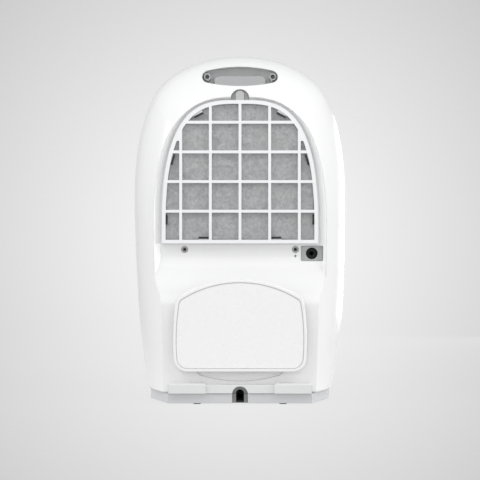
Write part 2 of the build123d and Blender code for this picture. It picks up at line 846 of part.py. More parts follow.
def clip_pad(x, z, lean):
    """Seat of a clip, carried by the border beside it."""
    angle = math.radians(lean)
    out = (math.sin(angle), math.cos(angle))
    if out[0] * x + out[1] * (z - filter_spring_z) < 0:
        out = (-out[0], -out[1])
    thick = bar_depth - clip_thick
    pad = Box(clip_length, thick, clip_width + pad_shift)
    place = Pos(x + pad_shift / 2 * out[0], filter_rear_y - bar_depth + thick / 2, z + pad_shift / 2 * out[1])
    return place * Rot(0, lean, 0) * pad


def make_filter_frame():
    border = filter_outline(0) - filter_outline(-filter_border)
    frame = prism_y(border, (filter_front_y, filter_rear_y))
    inside = filter_outline(-filter_border + 1.0)
    bars = Pos(0, (filter_low_z + filter_top_z) / 2) * Rectangle(bar_width, 2 * filter_half)
    for column in (-2, -1, 1, 2):
        bars += Pos(column * bar_pitch, (filter_low_z + filter_top_z) / 2) * Rectangle(bar_width, 2 * filter_half)
    for row in range(cross_bars):
        bars += Pos(0, filter_first_bar_z + row * bar_pitch) * Rectangle(2 * filter_half, bar_width)
    outer_bar = 2 * bar_pitch + bar_width / 2
    for side in (-1, 1):
        bars += Pos(side * (outer_bar + 30), filter_web_z + web_height / 2) * Rectangle(60.5, web_height)
    frame += prism_y(bars & inside, (filter_rear_y - bar_depth, filter_rear_y))
    for x, z, lean in clip_places():
        frame += clip_pad(x, z, lean)
        frame -= make_clip(x, z, lean, 0, (filter_rear_y - clip_thick, filter_rear_y + 1))
    clear = ear_radius + ear_gap
    for side in (-1, 1):
        for low, high in ear_spans(side):
            frame -= block((low - part_gap, high + part_gap), (filter_front_y - 1, hinge_y + clear),
                           (filter_low_z - 1, hinge_z + clear))
        bore = sorted((side * (hinge_inner_x - part_gap), side * (hinge_outer_x + part_gap)))
        frame -= rod_x(hinge_pin_radius + hinge_fit, bore, hinge_y, hinge_z)
    pull_y = (filter_front_y, filter_front_y + pull_thick)
    top = filter_top_z + pull_rise - pull_half
    frame += block((-pull_half, pull_half), pull_y, (filter_top_z - 2.0, top))
    return frame + rod_y(pull_half, 0, pull_y, top)


def make_filter_media():
    front = filter_front_y + 0.4
    return prism_y(filter_outline(-filter_border - part_gap), (front, front + media_thick))


def make_filter_clips():
    reach = (filter_rear_y - clip_thick, filter_rear_y + 0.2)
    return [make_clip(x, z, lean, -0.05, reach) for x, z, lean in clip_places()]


def make_filter_pins():
    pins = []
    for side in (-1, 1):
        ends = [x for span in ear_spans(side) for x in span]
        pins.append(rod_x(hinge_pin_radius, (min(ends), max(ends)), hinge_y, hinge_z))
    return pins


def make_intake_guard():
    """Grid in the intake window, with a flange behind the recess floor."""
    rear = recess_floor_y - 0.2
    front = rear - guard_thick
    opening = filter_outline(-window_margin - part_gap)
    rim = opening - filter_outline(-window_margin - 4.0)
    grid = rim
    columns = int(filter_half / guard_pitch)
    middle_z = (filter_low_z + filter_top_z) / 2
    for column in range(-columns, columns + 1):
        grid += (Pos(column * guard_pitch, middle_z) * Rectangle(guard_bar, 2 * filter_half)) & opening
    rows = int((filter_top_z - filter_low_z) / guard_pitch)
    for row in range(1, rows):
        grid += (Pos(0, filter_low_z + row * guard_pitch) * Rectangle(2 * filter_half, guard_bar)) & opening
    guard = prism_y(grid, (front, rear))
    back = recess_floor_y - wall
    flange = filter_outline(-window_margin + 4.0) - filter_outline(-window_margin - 3.0)
    return guard + prism_y(flange, (back - 1.5, back))


# ---- drain --------------------------------------------------------------------------------
def make_drain_socket():
    floor = recess_floor_y - port_depth
    sketch = Pos(port_x, port_z) * RectangleRounded(2 * port_half_width - 2 * part_gap,
                                                    2 * port_half_height - 2 * part_gap, 1.5)
    plate = prism_y(sketch, (floor, floor + 2.0))
    cup_end = floor - port_cup_length
    plate += rod_y(port_radius + port_cup_wall, port_x, (cup_end, floor), port_z)
    plate += rod_y(barb_radius, port_x, (cup_end - 10, cup_end), port_z)
    plate -= rod_y(port_radius, port_x, (cup_end + 2, floor + 3), port_z)
    return plate - rod_y(barb_bore, port_x, (cup_end - 11, cup_end + 3), port_z)


def make_drain_hose():
    """Short elbow from the drip tray's side spigot to the socket's barb."""
    barb_end = recess_floor_y - port_depth - port_cup_length - 10
    path = [(port_x, barb_end, port_z), (port_x, barb_end - 14, port_z), (-tray_half, barb_end - 14, port_z)]
    return pipe(path, barb_radius - 0.4, 8.0) - pipe(path, barb_bore, 8.0)


# ---- cord tidy plate ----------------------------------------------------------------------
def plate_outline(inset):
    """D-shaped outline with a bowed top edge and rounded corners."""
    low = plate_low_z + inset
    low_x = plate_low_half - inset
    side_x = plate_half - inset
    top_x = plate_shoulder_half - inset
    top_z = plate_shoulder_z - inset
    edges = [Line((-low_x, low), (low_x, low))]
    for side in (-1, 1):
        edges.append(ThreePointArc((side * low_x, low), (side * side_x, (low + top_z) / 2), (side * top_x, top_z)))
    edges.append(ThreePointArc((-top_x, top_z), (0, plate_high_z - inset), (top_x, top_z)))
    face = make_face(edges)
    corners = face.vertices()
    face = fillet(corners.group_by(Axis.Y)[0], max(plate_low_round - inset, 2.0))
    return fillet(face.vertices().filter_by(lambda v: abs(v.Y - top_z) < 0.01),
                  max(plate_high_round - inset, 2.0))


def make_tidy_spool():
    body = prism_y(plate_outline(0), (plate_back_y, plate_face_y))
    rims = body.edges().group_by(Axis.Y)
    body = fillet(rims[-1], 1.6)
    seat = plate_face_y - cap_recess - cap_thick
    body -= prism_y(plate_outline(plate_rim), (seat, plate_face_y + 1))
    hub = prism_y(plate_outline(hub_inset), (rear_depth, plate_back_y + 0.5))
    body += hub - block((-plate_half, plate_half), (rear_depth - 1, plate_back_y + 1), (ramp_foot_z, plate_high_z))
    middle_z = (plate_low_z + plate_high_z) / 2
    for side in (-1, 1):
        x = side * tidy_screw_x
        body -= rod_y(tidy_screw_radius, x, (rear_depth - 1, plate_face_y), middle_z)
        body -= rod_y(2 * tidy_screw_radius, x, (plate_back_y - 2, plate_face_y), middle_z)
    return body


def make_tidy_cap():
    seat = plate_face_y - cap_recess - cap_thick
    cap = prism_y(plate_outline(plate_rim + cap_gap), (seat, seat + cap_thick))
    return fillet(cap.edges().group_by(Axis.Y)[-1], 0.5)


def make_tidy_screws():
    screws = []
    middle_z = (plate_low_z + plate_high_z) / 2
    for side in (-1, 1):
        x = side * tidy_screw_x
        head = rod_y(2 * tidy_screw_radius - 0.3, x, (plate_back_y - 2, plate_back_y), middle_z)
        screws.append(head + rod_y(tidy_screw_radius - 0.05, x, (rear_depth - 6, plate_back_y - 2), middle_z))
    return screws


# ---- front pieces -------------------------------------------------------------------------
def make_grille():
    face = (-front_depth, -front_depth + grille_depth)
    gap = part_gap
    ring = rounded_plate(grille_half - gap, grille_low_z + gap, grille_high_z - gap, grille_corner - gap, face)
    inner = grille_border + gap
    ring -= rounded_plate(grille_half - inner, grille_low_z + inner, grille_high_z - inner,
                          grille_corner - grille_border, (face[0] - 1, face[1] + 1))
    flange = rounded_plate(grille_half + 3, grille_low_z - 3, grille_high_z + 3, grille_corner + 3,
                           (-front_depth + wall, -front_depth + wall + 1.6))
    flange -= rounded_plate(grille_half - inner, grille_low_z + inner, grille_high_z - inner,
                            grille_corner - grille_border, (face[0] - 1, face[1] + 1))
    ring += flange
    step = (grille_high_z - grille_low_z - 2 * grille_border) / (slat_count + 1)
    for row in range(slat_count):
        z = grille_low_z + grille_border + (row + 1) * step
        slat = Pos(0, (face[0] + face[1]) / 2 + 0.2, z) * Rot(-30, 0, 0)
        ring += slat * Box(2 * (grille_half - inner) + 1, grille_depth, slat_thick)
    for x in (-grille_half / 3, grille_half / 3):
        ring += block((x - 1.2, x + 1.2), (face[1] - 2.0, face[1]), (grille_low_z + 2, grille_high_z - 2))
    return ring


def make_fascia():
    face = (-front_depth, bucket_front_y)
    fascia = rounded_plate(fascia_half, fascia_low_z, fascia_high_z, fascia_corner, face)
    fascia = fillet(fascia.edges().group_by(Axis.Y)[0], 1.5)
    rim = 3.0
    fascia -= rounded_plate(fascia_half - rim, fascia_low_z + rim, fascia_high_z - rim, fascia_corner - rim,
                            (-front_depth + fascia_thick, bucket_front_y + 1))
    arc = ThreePointArc((-pull_cut_half, fascia_high_z + 1), (0, fascia_high_z - pull_cut_drop),
                        (pull_cut_half, fascia_high_z + 1))
    cut = make_face([arc, Line((pull_cut_half, fascia_high_z + 1), (-pull_cut_half, fascia_high_z + 1))])
    fascia += prism_y(offset(cut, rim) & plate_face(rim), (-front_depth + 1, bucket_front_y))
    fascia -= prism_y(cut, (-front_depth - 1, -front_depth + pull_cut_depth))
    return fascia - window_block(0, (-front_depth - 1, bucket_front_y + 1))


def plate_face(rim):
    middle = (fascia_low_z + fascia_high_z) / 2
    return Pos(0, middle) * Rectangle(2 * fascia_half - rim, fascia_high_z - fascia_low_z - rim / 2)


def window_block(gap, y):
    return rounded_plate(window_half - gap, window_low_z + gap, window_high_z - gap, 5.0 - gap, y)


def make_bucket_window():
    return window_block(0.1, (-front_depth + 0.3, bucket_front_y))


def make_bucket():
    depth = bucket_rear_y - bucket_front_y
    middle = (bucket_rear_y + bucket_front_y) / 2
    outer = RectangleRounded(2 * bucket_half, depth, bucket_corner)
    inner = RectangleRounded(2 * (bucket_half - bucket_wall), depth - 2 * bucket_wall, bucket_corner - bucket_wall)
    bucket = extrude(Pos(0, middle, bucket_low_z) * outer, amount=bucket_high_z - bucket_low_z)
    bucket = fillet(bucket.edges().group_by(Axis.Z)[0], bucket_floor_round)
    return bucket - extrude(Pos(0, middle, bucket_low_z + bucket_wall) * inner, amount=bucket_high_z)


def make_float():
    x = (float_arm_x - float_arm_half, float_arm_x + float_arm_half)
    centre = (float_pin_y - float_reach, float_pin_z - float_drop)
    arm = rod_x(5.0, x, float_pin_y, float_pin_z)
    across = math.atan2(float_drop, float_reach)
    side = (3.0 * math.sin(across), 3.0 * math.cos(across))
    arm += prism_x([(float_pin_y - side[0], float_pin_z + side[1]), (float_pin_y + side[0], float_pin_z - side[1]),
                    (centre[0] + side[0], centre[1] - side[1]), (centre[0] - side[0], centre[1] + side[1])], x)
    half = float_size / 2
    body = block((float_arm_x - half + 3, float_arm_x + half + 6), (centre[0] - half, centre[0] + half),
                 (centre[1] - half, centre[1] + half - 4))
    arm += fillet(body.edges(), 3.0)
    arm -= rod_x(float_pin_radius + float_fit, x, float_pin_y, float_pin_z)
    return arm - float_magnet(0.0)


def float_magnet(gap):
    top = float_pin_z - float_drop + float_size / 2 - 4
    y = float_pin_y - float_reach
    return rod_z(magnet_radius - gap, float_arm_x + 12, y, (top - 4.0, top + 0.1 - gap))


def make_float_pin():
    wall_x = -bucket_half + bucket_wall
    return rod_x(float_pin_radius, (wall_x, float_arm_x + float_arm_half + 3), float_pin_y, float_pin_z)


def make_float_switch():
    x = (float_arm_x - 10, float_arm_x + 10)
    return block(x, (bucket_rear_y + 2 * part_gap, bulkhead_y), (float_pin_z - 22, float_pin_z - 4))


# ---- inner structure ----------------------------------------------------------------------
def make_deck(space):
    deck = block((-200, 200), (-200, 200), (deck_z, deck_top)) & space
    back = recess_floor_y - screw_hole_depth - 2.0
    half = case_screw_x + 2 * screw_shank_radius
    deck += block((-half, half), (back - plate_sheet, back), (deck_top, deck_top + flange_height))
    for side in (-1, 1):
        deck -= rod_y(screw_shank_radius, side * case_screw_x, (back - plate_sheet, back), case_screw_z)
    deck -= rod_z(suction_radius + 2, suction_riser_x, evaporator_y, (deck_z, deck_top))
    deck -= rod_z(discharge_radius + 2, discharge_riser_x, condenser_y, (deck_z, deck_top))
    cup = port_radius + port_cup_wall + 2 * part_gap
    cup_end = recess_floor_y - port_depth - port_cup_length - part_gap
    deck -= block((port_x - cup, port_x + cup), (cup_end, 2 * recess_floor_y), (deck_z - 1, deck_top + 1))
    return deck - rod_z(spout_radius + 1, spout_x, spout_y, (deck_z, deck_top))


def make_bulkhead(space):
    wall_plate = block((-200, 200), (bulkhead_y, bulkhead_y + plate_sheet), (base_top + 6, deck_z)) & space
    half = foot_half * 0.9
    return wall_plate + block((-half, half), (bulkhead_y, bulkhead_y + plate_sheet), (base_floor_z, base_top + 6))


def make_shroud(space):
    plate = block((-200, 200), (shroud_y, shroud_y + plate_sheet), (deck_top, coil_high_z + 8)) & space
    inner = fan_radius + shroud_clearance
    ring = rod_y(inner + plate_sheet, 0, (fan_low_y - 3, shroud_y + 1), fan_z)
    gate = spout_channel_half + part_gap
    plate -= block((spout_x - gate, spout_x + gate), (shroud_y - 1, shroud_y + plate_sheet + 1),
                   (deck_top - 1, deck_top + tray_height + part_gap))
    return plate + ring - rod_y(inner, 0, (fan_low_y - 4, shroud_y + 2 * plate_sheet), fan_z)


def make_fan():
    y = (fan_low_y, fan_low_y + fan_length)
    middle = (y[0] + y[1]) / 2
    hub = rod_y(fan_hub_radius, 0, y, fan_z)
    rim = rod_y(fan_radius, 0, y, fan_z)
    span = fan_radius - fan_hub_radius + 14
    fan = hub
    for index in range(fan_blades):
        turn = 360.0 * index / fan_blades
        blade = Pos(0, middle, fan_z) * Rot(0, turn, 0) * Pos(fan_hub_radius - 6 + span / 2, 0, 0)
        blade *= Rot(blade_pitch, 0, 0)
        fan += (blade * Box(span, fan_length * 1.5, 2.4)) & rim
    return fan - rod_y(motor_shaft_radius, 0, y, fan_z)


def make_motor():
    low = fan_low_y - 8.0 - motor_length
    motor = rod_y(motor_radius, 0, (low, low + motor_length), fan_z)
    motor = fillet(motor.edges().filter_by(GeomType.CIRCLE), 5.0)
    return motor - rod_y(motor_shaft_radius + shaft_fit, 0, (low + 10, low + motor_length), fan_z)


def make_motor_shaft():
    low = fan_low_y - 8.0 - motor_length
    return rod_y(motor_shaft_radius, 0, (low + 12, fan_low_y + fan_length), fan_z)


def make_motor_bracket():
    """Three-armed spider that hangs the motor on the shroud's ring."""
    face = fan_low_y - 3
    y = (face - 16, face - 11)
    spider = rod_y(motor_radius + 4, 0, y, fan_z) - rod_y(motor_radius, 0, y, fan_z)
    reach = fan_radius + shroud_clearance + plate_sheet
    for index in range(3):
        place = Pos(0, 0, fan_z) * Rot(0, 120 * index + 90, 0)
        span = (motor_radius + 2, reach)
        spider += place * block(span, y, (-6, 6))
        spider += place * block((reach - 3, reach), (y[0], face), (-6, 6))
    return spider


def make_duct():
    """Square duct from the fan to the outlet grille."""
    y = (-front_depth + grille_depth + 0.4, fan_low_y - 3 - 20)
    low = deck_top + tray_height + part_gap
    outer = block((-duct_half, duct_half), y, (low, duct_high_z))
    inner = block((-duct_half + 2, duct_half - 2), (y[0] - 1, y[1] + 1), (low + 2, duct_high_z - 2))
    front = rounded_plate(grille_half + 3, grille_low_z - 3, grille_high_z + 3, grille_corner, (y[0], y[0] + 2))
    shell = outer - inner
    closing = block((-duct_half, duct_half), (y[0], y[0] + 2), (low, duct_high_z))
    shell += closing - front
    for side in (-1, 1):
        shell += block(sorted((side * (duct_half - 4), side * duct_half)), y, (deck_top, low))
    return shell


def make_fins(y):
    plate = block((-fin_thick / 2, fin_thick / 2), (y - coil_depth / 2, y + coil_depth / 2), (coil_low_z, coil_high_z))
    for row in range(tube_count):
        z = tube_low_z + row * tube_pitch
        plate -= rod_x(tube_radius + 0.05, (-1, 1), y, z)
    step = 2 * coil_half / (fin_count - 1)
    return [Pos(-coil_half + index * step, 0, 0) * plate for index in range(fin_count)]


def make_tubes(y):
    """Serpentine tube, both ends on the +X side."""
    end = coil_half + 4
    tubes = rod_x(tube_radius, (-end, end + 6), y, tube_low_z)
    tubes += rod_x(tube_radius, (-end, end + 6), y, tube_high_z)
    for row in range(1, tube_count - 1):
        tubes += rod_x(tube_radius, (-end, end), y, tube_low_z + row * tube_pitch)
    for row in range(tube_count - 1):
        side = -1 if row % 2 == 0 else 1
        z = tube_low_z + row * tube_pitch
        tubes += make_bend(side * end, y, z, side)
    return tubes


def make_bend(x, y, z, side):
    """Half-round return bend between two neighbouring tubes."""
    arc = ThreePointArc((x, y, z), (x + side * tube_pitch / 2, y, z + tube_pitch / 2), (x, y, z + tube_pitch))
    return sweep(Plane(origin=arc @ 0, z_dir=arc % 0) * Circle(tube_radius), path=arc)


def make_drip_tray():
    y = (condenser_y - coil_depth / 2 - 3, evaporator_y + coil_depth / 2 + 2)
    tray = block((-tray_half, tray_half), y, (deck_top, deck_top + tray_height))
    half = spout_channel_half
    tray += block((spout_x - half, spout_x + half), (spout_y - half, y[0] + 1), (deck_top, deck_top + tray_height))
    inner = (deck_top + tray_wall, deck_top + tray_height + 1)
    tray -= block((-tray_half + tray_wall, tray_half - tray_wall), (y[0] + tray_wall, y[1] - tray_wall), inner)
    half -= tray_wall
    tray -= block((spout_x - half, spout_x + half), (spout_y - half, y[0] + 3), inner)
    for x in (-tray_half * 0.6, 0, tray_half * 0.6):
        rib = block((x - 2, x + 2), (y[0] + 1, y[1] - 1), (deck_top + 1, coil_low_z))
        tray += rib
    tray += rod_z(spout_radius, spout_x, spout_y, (deck_z - 10, deck_top + 1))
    tray -= rod_z(spout_radius - 1.5, spout_x, spout_y, (deck_z - 11, deck_top + tray_wall))
    barb_y = recess_floor_y - port_depth - port_cup_length - 24
    return tray - rod_x(barb_bore, (-tray_half - 1, -tray_half + tray_wall + 1), barb_y, port_z)


def bolt_places():
    places = []
    for turn in (45, 135, 225, 315):
        angle = math.radians(turn)
        places.append((compressor_x + bolt_circle * math.cos(angle), compressor_y + bolt_circle * math.sin(angle)))
    return places


def make_compressor():
    body = rod_z(compressor_radius, 0, 0, (compressor_low_z, compressor_high_z))
    body = fillet(body.edges().group_by(Axis.Z)[-1], compressor_dome)
    body = fillet(body.edges().group_by(Axis.Z)[0], compressor_sump)
    body += rod_z(compressor_radius + 2.2, 0, 0, (compressor_seam_z, compressor_seam_z + 6))
    body = Pos(compressor_x, compressor_y, 0) * body
    for x, y, radius in port_stubs():
        body += rod_z(radius + 1.2, x, y, (compressor_high_z - 30, compressor_high_z))
    return body


def port_stubs():
    """Stub tubes on the compressor's dome: suction, then discharge."""
    return [(compressor_x + 24, evaporator_y, suction_radius), (compressor_x + 24, condenser_y, discharge_radius)]


def make_compressor_feet():
    low = compressor_low_z - plate_sheet
    plate = rod_z(34, compressor_x, compressor_y, (low, compressor_low_z))
    for x, y in bolt_places():
        plate += rod_z(grommet_radius + 2, x, y, (low, compressor_low_z))
    for turn in (45, 135):
        bar = Pos(compressor_x, compressor_y, low + plate_sheet / 2) * Rot(0, 0, turn)
        plate += bar * Box(2 * bolt_circle, 2 * grommet_radius, plate_sheet)
    for x, y in bolt_places():
        plate -= rod_z(bolt_radius + 0.4, x, y, (low, compressor_low_z))
    return plate


def make_grommets():
    low = base_floor_z
    high = compressor_low_z - plate_sheet
    return [rod_z(grommet_radius, x, y, (low, high)) - rod_z(bolt_radius, x, y, (low, high))
            for x, y in bolt_places()]


def make_bolts():
    bolts = []
    for x, y in bolt_places():
        head = Pos(x, y, compressor_low_z) * extrude(RegularPolygon(bolt_radius * 1.8, 6), amount=4.5)
        bolts.append(head + rod_z(bolt_radius, x, y, (base_floor_z, compressor_low_z)))
    return bolts


def make_terminal_cover():
    side = compressor_x - compressor_radius
    cover = block((side - 10, side + 8), (compressor_y - 18, compressor_y + 18), (120.0, 160.0))
    cover = fillet(cover.edges().filter_by(Axis.X), 4.0)
    return cover - rod_z(compressor_radius + snug, compressor_x, compressor_y, (0, height))


def make_suction_pipe():
    x, y, radius = port_stubs()[0]
    start = (coil_half + 10, evaporator_y, tube_high_z)
    path = [start, (suction_riser_x, evaporator_y, tube_high_z), (suction_riser_x, evaporator_y, pipe_run_z),
            (x, y, pipe_run_z), (x, y, compressor_high_z)]
    return pipe(path, suction_radius, [10, 8, 5.5])


def make_discharge_pipe():
    x, y, radius = port_stubs()[1]
    path = [(x, y, compressor_high_z), (x, y, pipe_run_z), (discharge_riser_x, y, pipe_run_z),
            (discharge_riser_x, y, tube_high_z), (coil_half + 10, y, tube_high_z)]
    return pipe(path, discharge_radius, [5.5, 8, 8])


def make_liquid_line():
    out = coil_half + 18
    path = [(coil_half + 10, condenser_y, tube_low_z), (out, condenser_y, tube_low_z),
            (out, liquid_y, tube_low_z), (liquid_x, liquid_y, tube_low_z), (liquid_x, liquid_y, drier_low_z)]
    return pipe(path, liquid_radius, [4, 5, 10])


def make_drier():
    drier = rod_z(drier_radius, liquid_x, liquid_y, (drier_low_z, drier_low_z + drier_length))
    return fillet(drier.edges().filter_by(GeomType.CIRCLE), 4.0)


def make_capillary():
    top = drier_low_z + drier_length
    y = evaporator_y + 13
    path = [(liquid_x, liquid_y, top), (liquid_x, liquid_y, top + 22), (liquid_x - 2, y, top + 22),
            (liquid_x - 2, y, tube_low_z), (coil_half + 18, y, tube_low_z),
            (coil_half + 18, evaporator_y, tube_low_z), (coil_half + 10, evaporator_y, tube_low_z)]
    return pipe(path, capillary_radius, [8, 8, 8, 5, 4])


def make_capacitor():
    can = rod_z(capacitor_radius, capacitor_x, capacitor_y, (base_floor_z, base_floor_z + capacitor_height))
    can = fillet(can.edges().filter_by(GeomType.CIRCLE).sort_by(Axis.Z)[-1], 2.0)
    for side in (-1, 1):
        top = base_floor_z + capacitor_height
        can += rod_z(2.5, capacitor_x + side * 7, capacitor_y, (top - 1, top + 8))
    return can


def make_capacitor_clip():
    z = (base_floor_z + 25, base_floor_z + 37)
    clip = rod_z(capacitor_radius + 2, capacitor_x, capacitor_y, z)
    x = capacitor_x - capacitor_radius
    clip += block((x - 4, x - 1), (capacitor_y - 6, capacitor_y + 6), (base_floor_z, z[1]))
    clip += block((x - 14, x - 1), (capacitor_y - 6, capacitor_y + 6), (base_floor_z, base_floor_z + 2))
    return clip - rod_z(capacitor_radius + snug, capacitor_x, capacitor_y, (0, 200))


def make_power_board():
    back = bulkhead_y + plate_sheet
    x, z = power_board_x, power_board_z
    board = block((x - 32, x + 32), (back + 6, back + 7.6), (z - 45, z + 45))
    for dx in (-27, 27):
        for dz in (-40, 40):
            board += rod_y(3.0, x + dx, (back, back + 6), z + dz)
    for dz, half in ((-24, 9), (2, 11), (27, 7)):
        board += block((x - 18, x + 6), (back + 7.6, back + 7.6 + half * 1.6), (z + dz - half, z + dz + half))
    return board


def combine(solids):
    return Compound(children=list(solids)) if isinstance(solids, list) else solids


rear_space = rear_inner(wall)
front_space = front_body(wall + inside_gap, drop=8)
free_space = front_space + rear_inner(wall + inside_gap)

parts = {
    "rear_cover": make_rear_cover(rear_space),
    "foot_ledge": make_ledge(),
    "front_cover": make_front_cover(),
    "base_tray": make_base(),
    "rubber_feet": make_feet(),
    "cable_gland": make_gland(),
    "handle_liner": make_handle_liner(rear_space),
    "handle_grip": make_handle_grip(),
    "casing_screws": make_handle_screws() + make_case_screws() + make_tidy_screws(),
    "filter_frame": make_filter_frame(),
    "filter_media": make_filter_media(),
    "filter_clips": make_filter_clips(),
    "filter_pins": make_filter_pins(),
    "intake_guard": make_intake_guard(),
    "drain_socket": make_drain_socket(),
    "drain_hose": make_drain_hose(),
    "tidy_spool": make_tidy_spool(),
    "tidy_cap": make_tidy_cap(),
    "outlet_grille": make_grille(),
    "control_panel": make_control_panel(),
    "display_lens": make_lens(),
    "humidity_knob": make_knob(),
    "control_board": make_control_board(),
    "panel_leds": make_leds(),
    "bucket": make_bucket(),
    "bucket_fascia": make_fascia(),
    "bucket_window": make_bucket_window(),
    "float": make_float(),
    "float_magnet": float_magnet(0.05),
    "float_pin": make_float_pin(),
    "float_switch": make_float_switch(),
    "deck": make_deck(free_space),
    "bulkhead": make_bulkhead(free_space),
    "fan_shroud": make_shroud(free_space),
    "fan_wheel": make_fan(),
    "fan_motor": make_motor(),
    "motor_shaft": make_motor_shaft(),
    "motor_bracket": make_motor_bracket(),
    "outlet_duct": make_duct(),
    "evaporator_fins": make_fins(evaporator_y),
    "evaporator_tubes": make_tubes(evaporator_y),
    "condenser_fins": make_fins(condenser_y),
    "condenser_tubes": make_tubes(condenser_y),
    "drip_tray": make_drip_tray(),
    "compressor": make_compressor(),
    "compressor_feet": make_compressor_feet(),
    "compressor_grommets": make_grommets(),
    "compressor_bolts": make_bolts(),
    "terminal_cover": make_terminal_cover(),
    "suction_pipe": make_suction_pipe(),
    "discharge_pipe": make_discharge_pipe(),
    "liquid_line": make_liquid_line(),
    "filter_drier": make_drier(),
    "capillary": make_capillary(),
    "run_capacitor": make_capacitor(),
    "capacitor_clip": make_capacitor_clip(),
    "power_board": make_power_board(),
}
for name, x in button_xs.items():
    parts[name] = make_button(x)

os.makedirs("parts", exist_ok=True)
for name, shape in parts.items():
    export_step(combine(shape), f"parts/{name}.step")
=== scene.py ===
import math

import bmesh
import bpy
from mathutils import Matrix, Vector, noise


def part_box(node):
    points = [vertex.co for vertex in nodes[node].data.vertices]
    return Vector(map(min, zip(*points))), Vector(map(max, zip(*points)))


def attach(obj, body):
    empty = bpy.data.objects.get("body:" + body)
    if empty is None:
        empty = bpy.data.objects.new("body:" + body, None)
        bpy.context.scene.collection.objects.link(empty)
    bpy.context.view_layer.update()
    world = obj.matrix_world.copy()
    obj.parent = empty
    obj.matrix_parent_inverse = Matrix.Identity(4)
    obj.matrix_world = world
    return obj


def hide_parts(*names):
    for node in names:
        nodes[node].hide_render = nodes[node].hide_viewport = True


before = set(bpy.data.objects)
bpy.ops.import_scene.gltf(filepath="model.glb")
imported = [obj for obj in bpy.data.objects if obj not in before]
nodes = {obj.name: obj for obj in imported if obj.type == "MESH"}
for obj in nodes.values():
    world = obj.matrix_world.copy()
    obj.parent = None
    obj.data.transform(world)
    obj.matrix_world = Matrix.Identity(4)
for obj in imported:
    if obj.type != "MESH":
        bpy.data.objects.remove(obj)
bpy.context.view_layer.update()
scene = bpy.context.scene
MM = 0.001

FELT_SPRING = 16.3 * MM     # height of the felt's straight sides
FELT_PITCH = 2.2 * MM       # spacing of the felt's mesh lines
FELT_SINK = 0.35            # mean depth of the felt's uneven face, mm
FIBRES = (("Density", 42000.0), ("Length", 4.2 * MM), ("Seed", 5))
FIBRE_THICKNESS = 0.012     # share of a fibre's length

# hollows of the casing painted darker than the rest as painted shade, with a little to spare all round
UNDER_FLOOR = -1.0 * MM
ARCH_HALF = 11.9 * MM
ARCH_TOP = 27.2 * MM
ARCH_FRONT = 116.0 * MM
ARCH_REAR = 143.5 * MM
CHANNEL_HALF = 6.1 * MM
CHANNEL_TOP = 22.2 * MM
CHANNEL_REAR = 135.2 * MM
HOLLOW_FRONT = 100.0 * MM   # the channel and the screw holes end behind this
SCREW_X = 83.0 * MM
SCREW_Z = 229.5 * MM
RING_HALF = 5.4 * MM
HOLE_HALF = 2.6 * MM
RING_FLOOR = 110.4 * MM
RECESS_FLOOR = 111.8 * MM
EARS_X = 66.0 * MM          # between the two ears of one side
EARS_HALF = 12.0 * MM
EARS_Y = (112.3 * MM, 122.0 * MM)
EARS_Z = (238.0 * MM, 244.0 * MM)
BOSS_X = 49.7 * MM
BOSS_HALF = 5.3 * MM
BOSS_Y = (73.5 * MM, 77.5 * MM)
BOSS_Z = (470.0 * MM, 510.0 * MM)

CAMERA_Y = 2.65
CAMERA_Z = 0.2436
ROOM_LIGHT = 0.55
PAPER_CENTRE = 0.88         # painted glow of the paper behind the machine, at its brightest
PAPER_EDGE = 0.545
SWEEP_RADIUS = 1.2          # bend between the paper's floor and its upright part
SWEEP_WIDTH = 9.0
SWEEP_BACK = -3.2
SWEEP_REACH = 6.0
LENS = 127.0
LIGHTS = (                  # name, place, target, width, height, watts
    ("upper_left", (0.9, 0.9, 1.6), (0.05, 0.0, 0.40), 0.8, 0.8, 7.0),
    ("upper_right", (-0.9, 0.9, 1.6), (-0.05, 0.0, 0.40), 0.8, 0.8, 7.0),
    ("side_left", (1.7, 0.6, 0.7), (0.0, 0.0, 0.25), 1.4, 1.6, 9.0),
    ("side_right", (-1.7, 0.5, 0.45), (0.0, 0.0, 0.18), 1.0, 1.2, 12.0),
    ("strip_right", (-0.85, -1.5, 0.15), (0.0, 0.0, 0.20), 0.5, 1.1, 7.0),
    ("fill", (0.3, 2.9, 1.0), (0.0, 0.0, 0.25), 1.8, 1.6, 9.0),
)


# ---- shader helpers -----------------------------------------------------------------------
class Value:
    """A socket of a material's node tree that can be used in plain arithmetic."""

    def __init__(self, tree, socket):
        self.tree = tree
        self.socket = socket

    def join(self, operation, first, second):
        node = self.tree.nodes.new("ShaderNodeMath")
        node.operation = operation
        for slot, item in zip(node.inputs, (first, second)):
            if isinstance(item, Value):
                self.tree.links.new(item.socket, slot)
            else:
                slot.default_value = item
        return Value(self.tree, node.outputs[0])

    def __add__(self, other):
        return self.join("ADD", self, other)

    def __sub__(self, other):
        return self.join("SUBTRACT", self, other)

    def __rsub__(self, other):
        return self.join("SUBTRACT", other, self)

    def __mul__(self, other):
        return self.join("MULTIPLY", self, other)

    def __truediv__(self, other):
        return self.join("DIVIDE", self, other)

    def __pow__(self, other):
        return self.join("POWER", self, other)


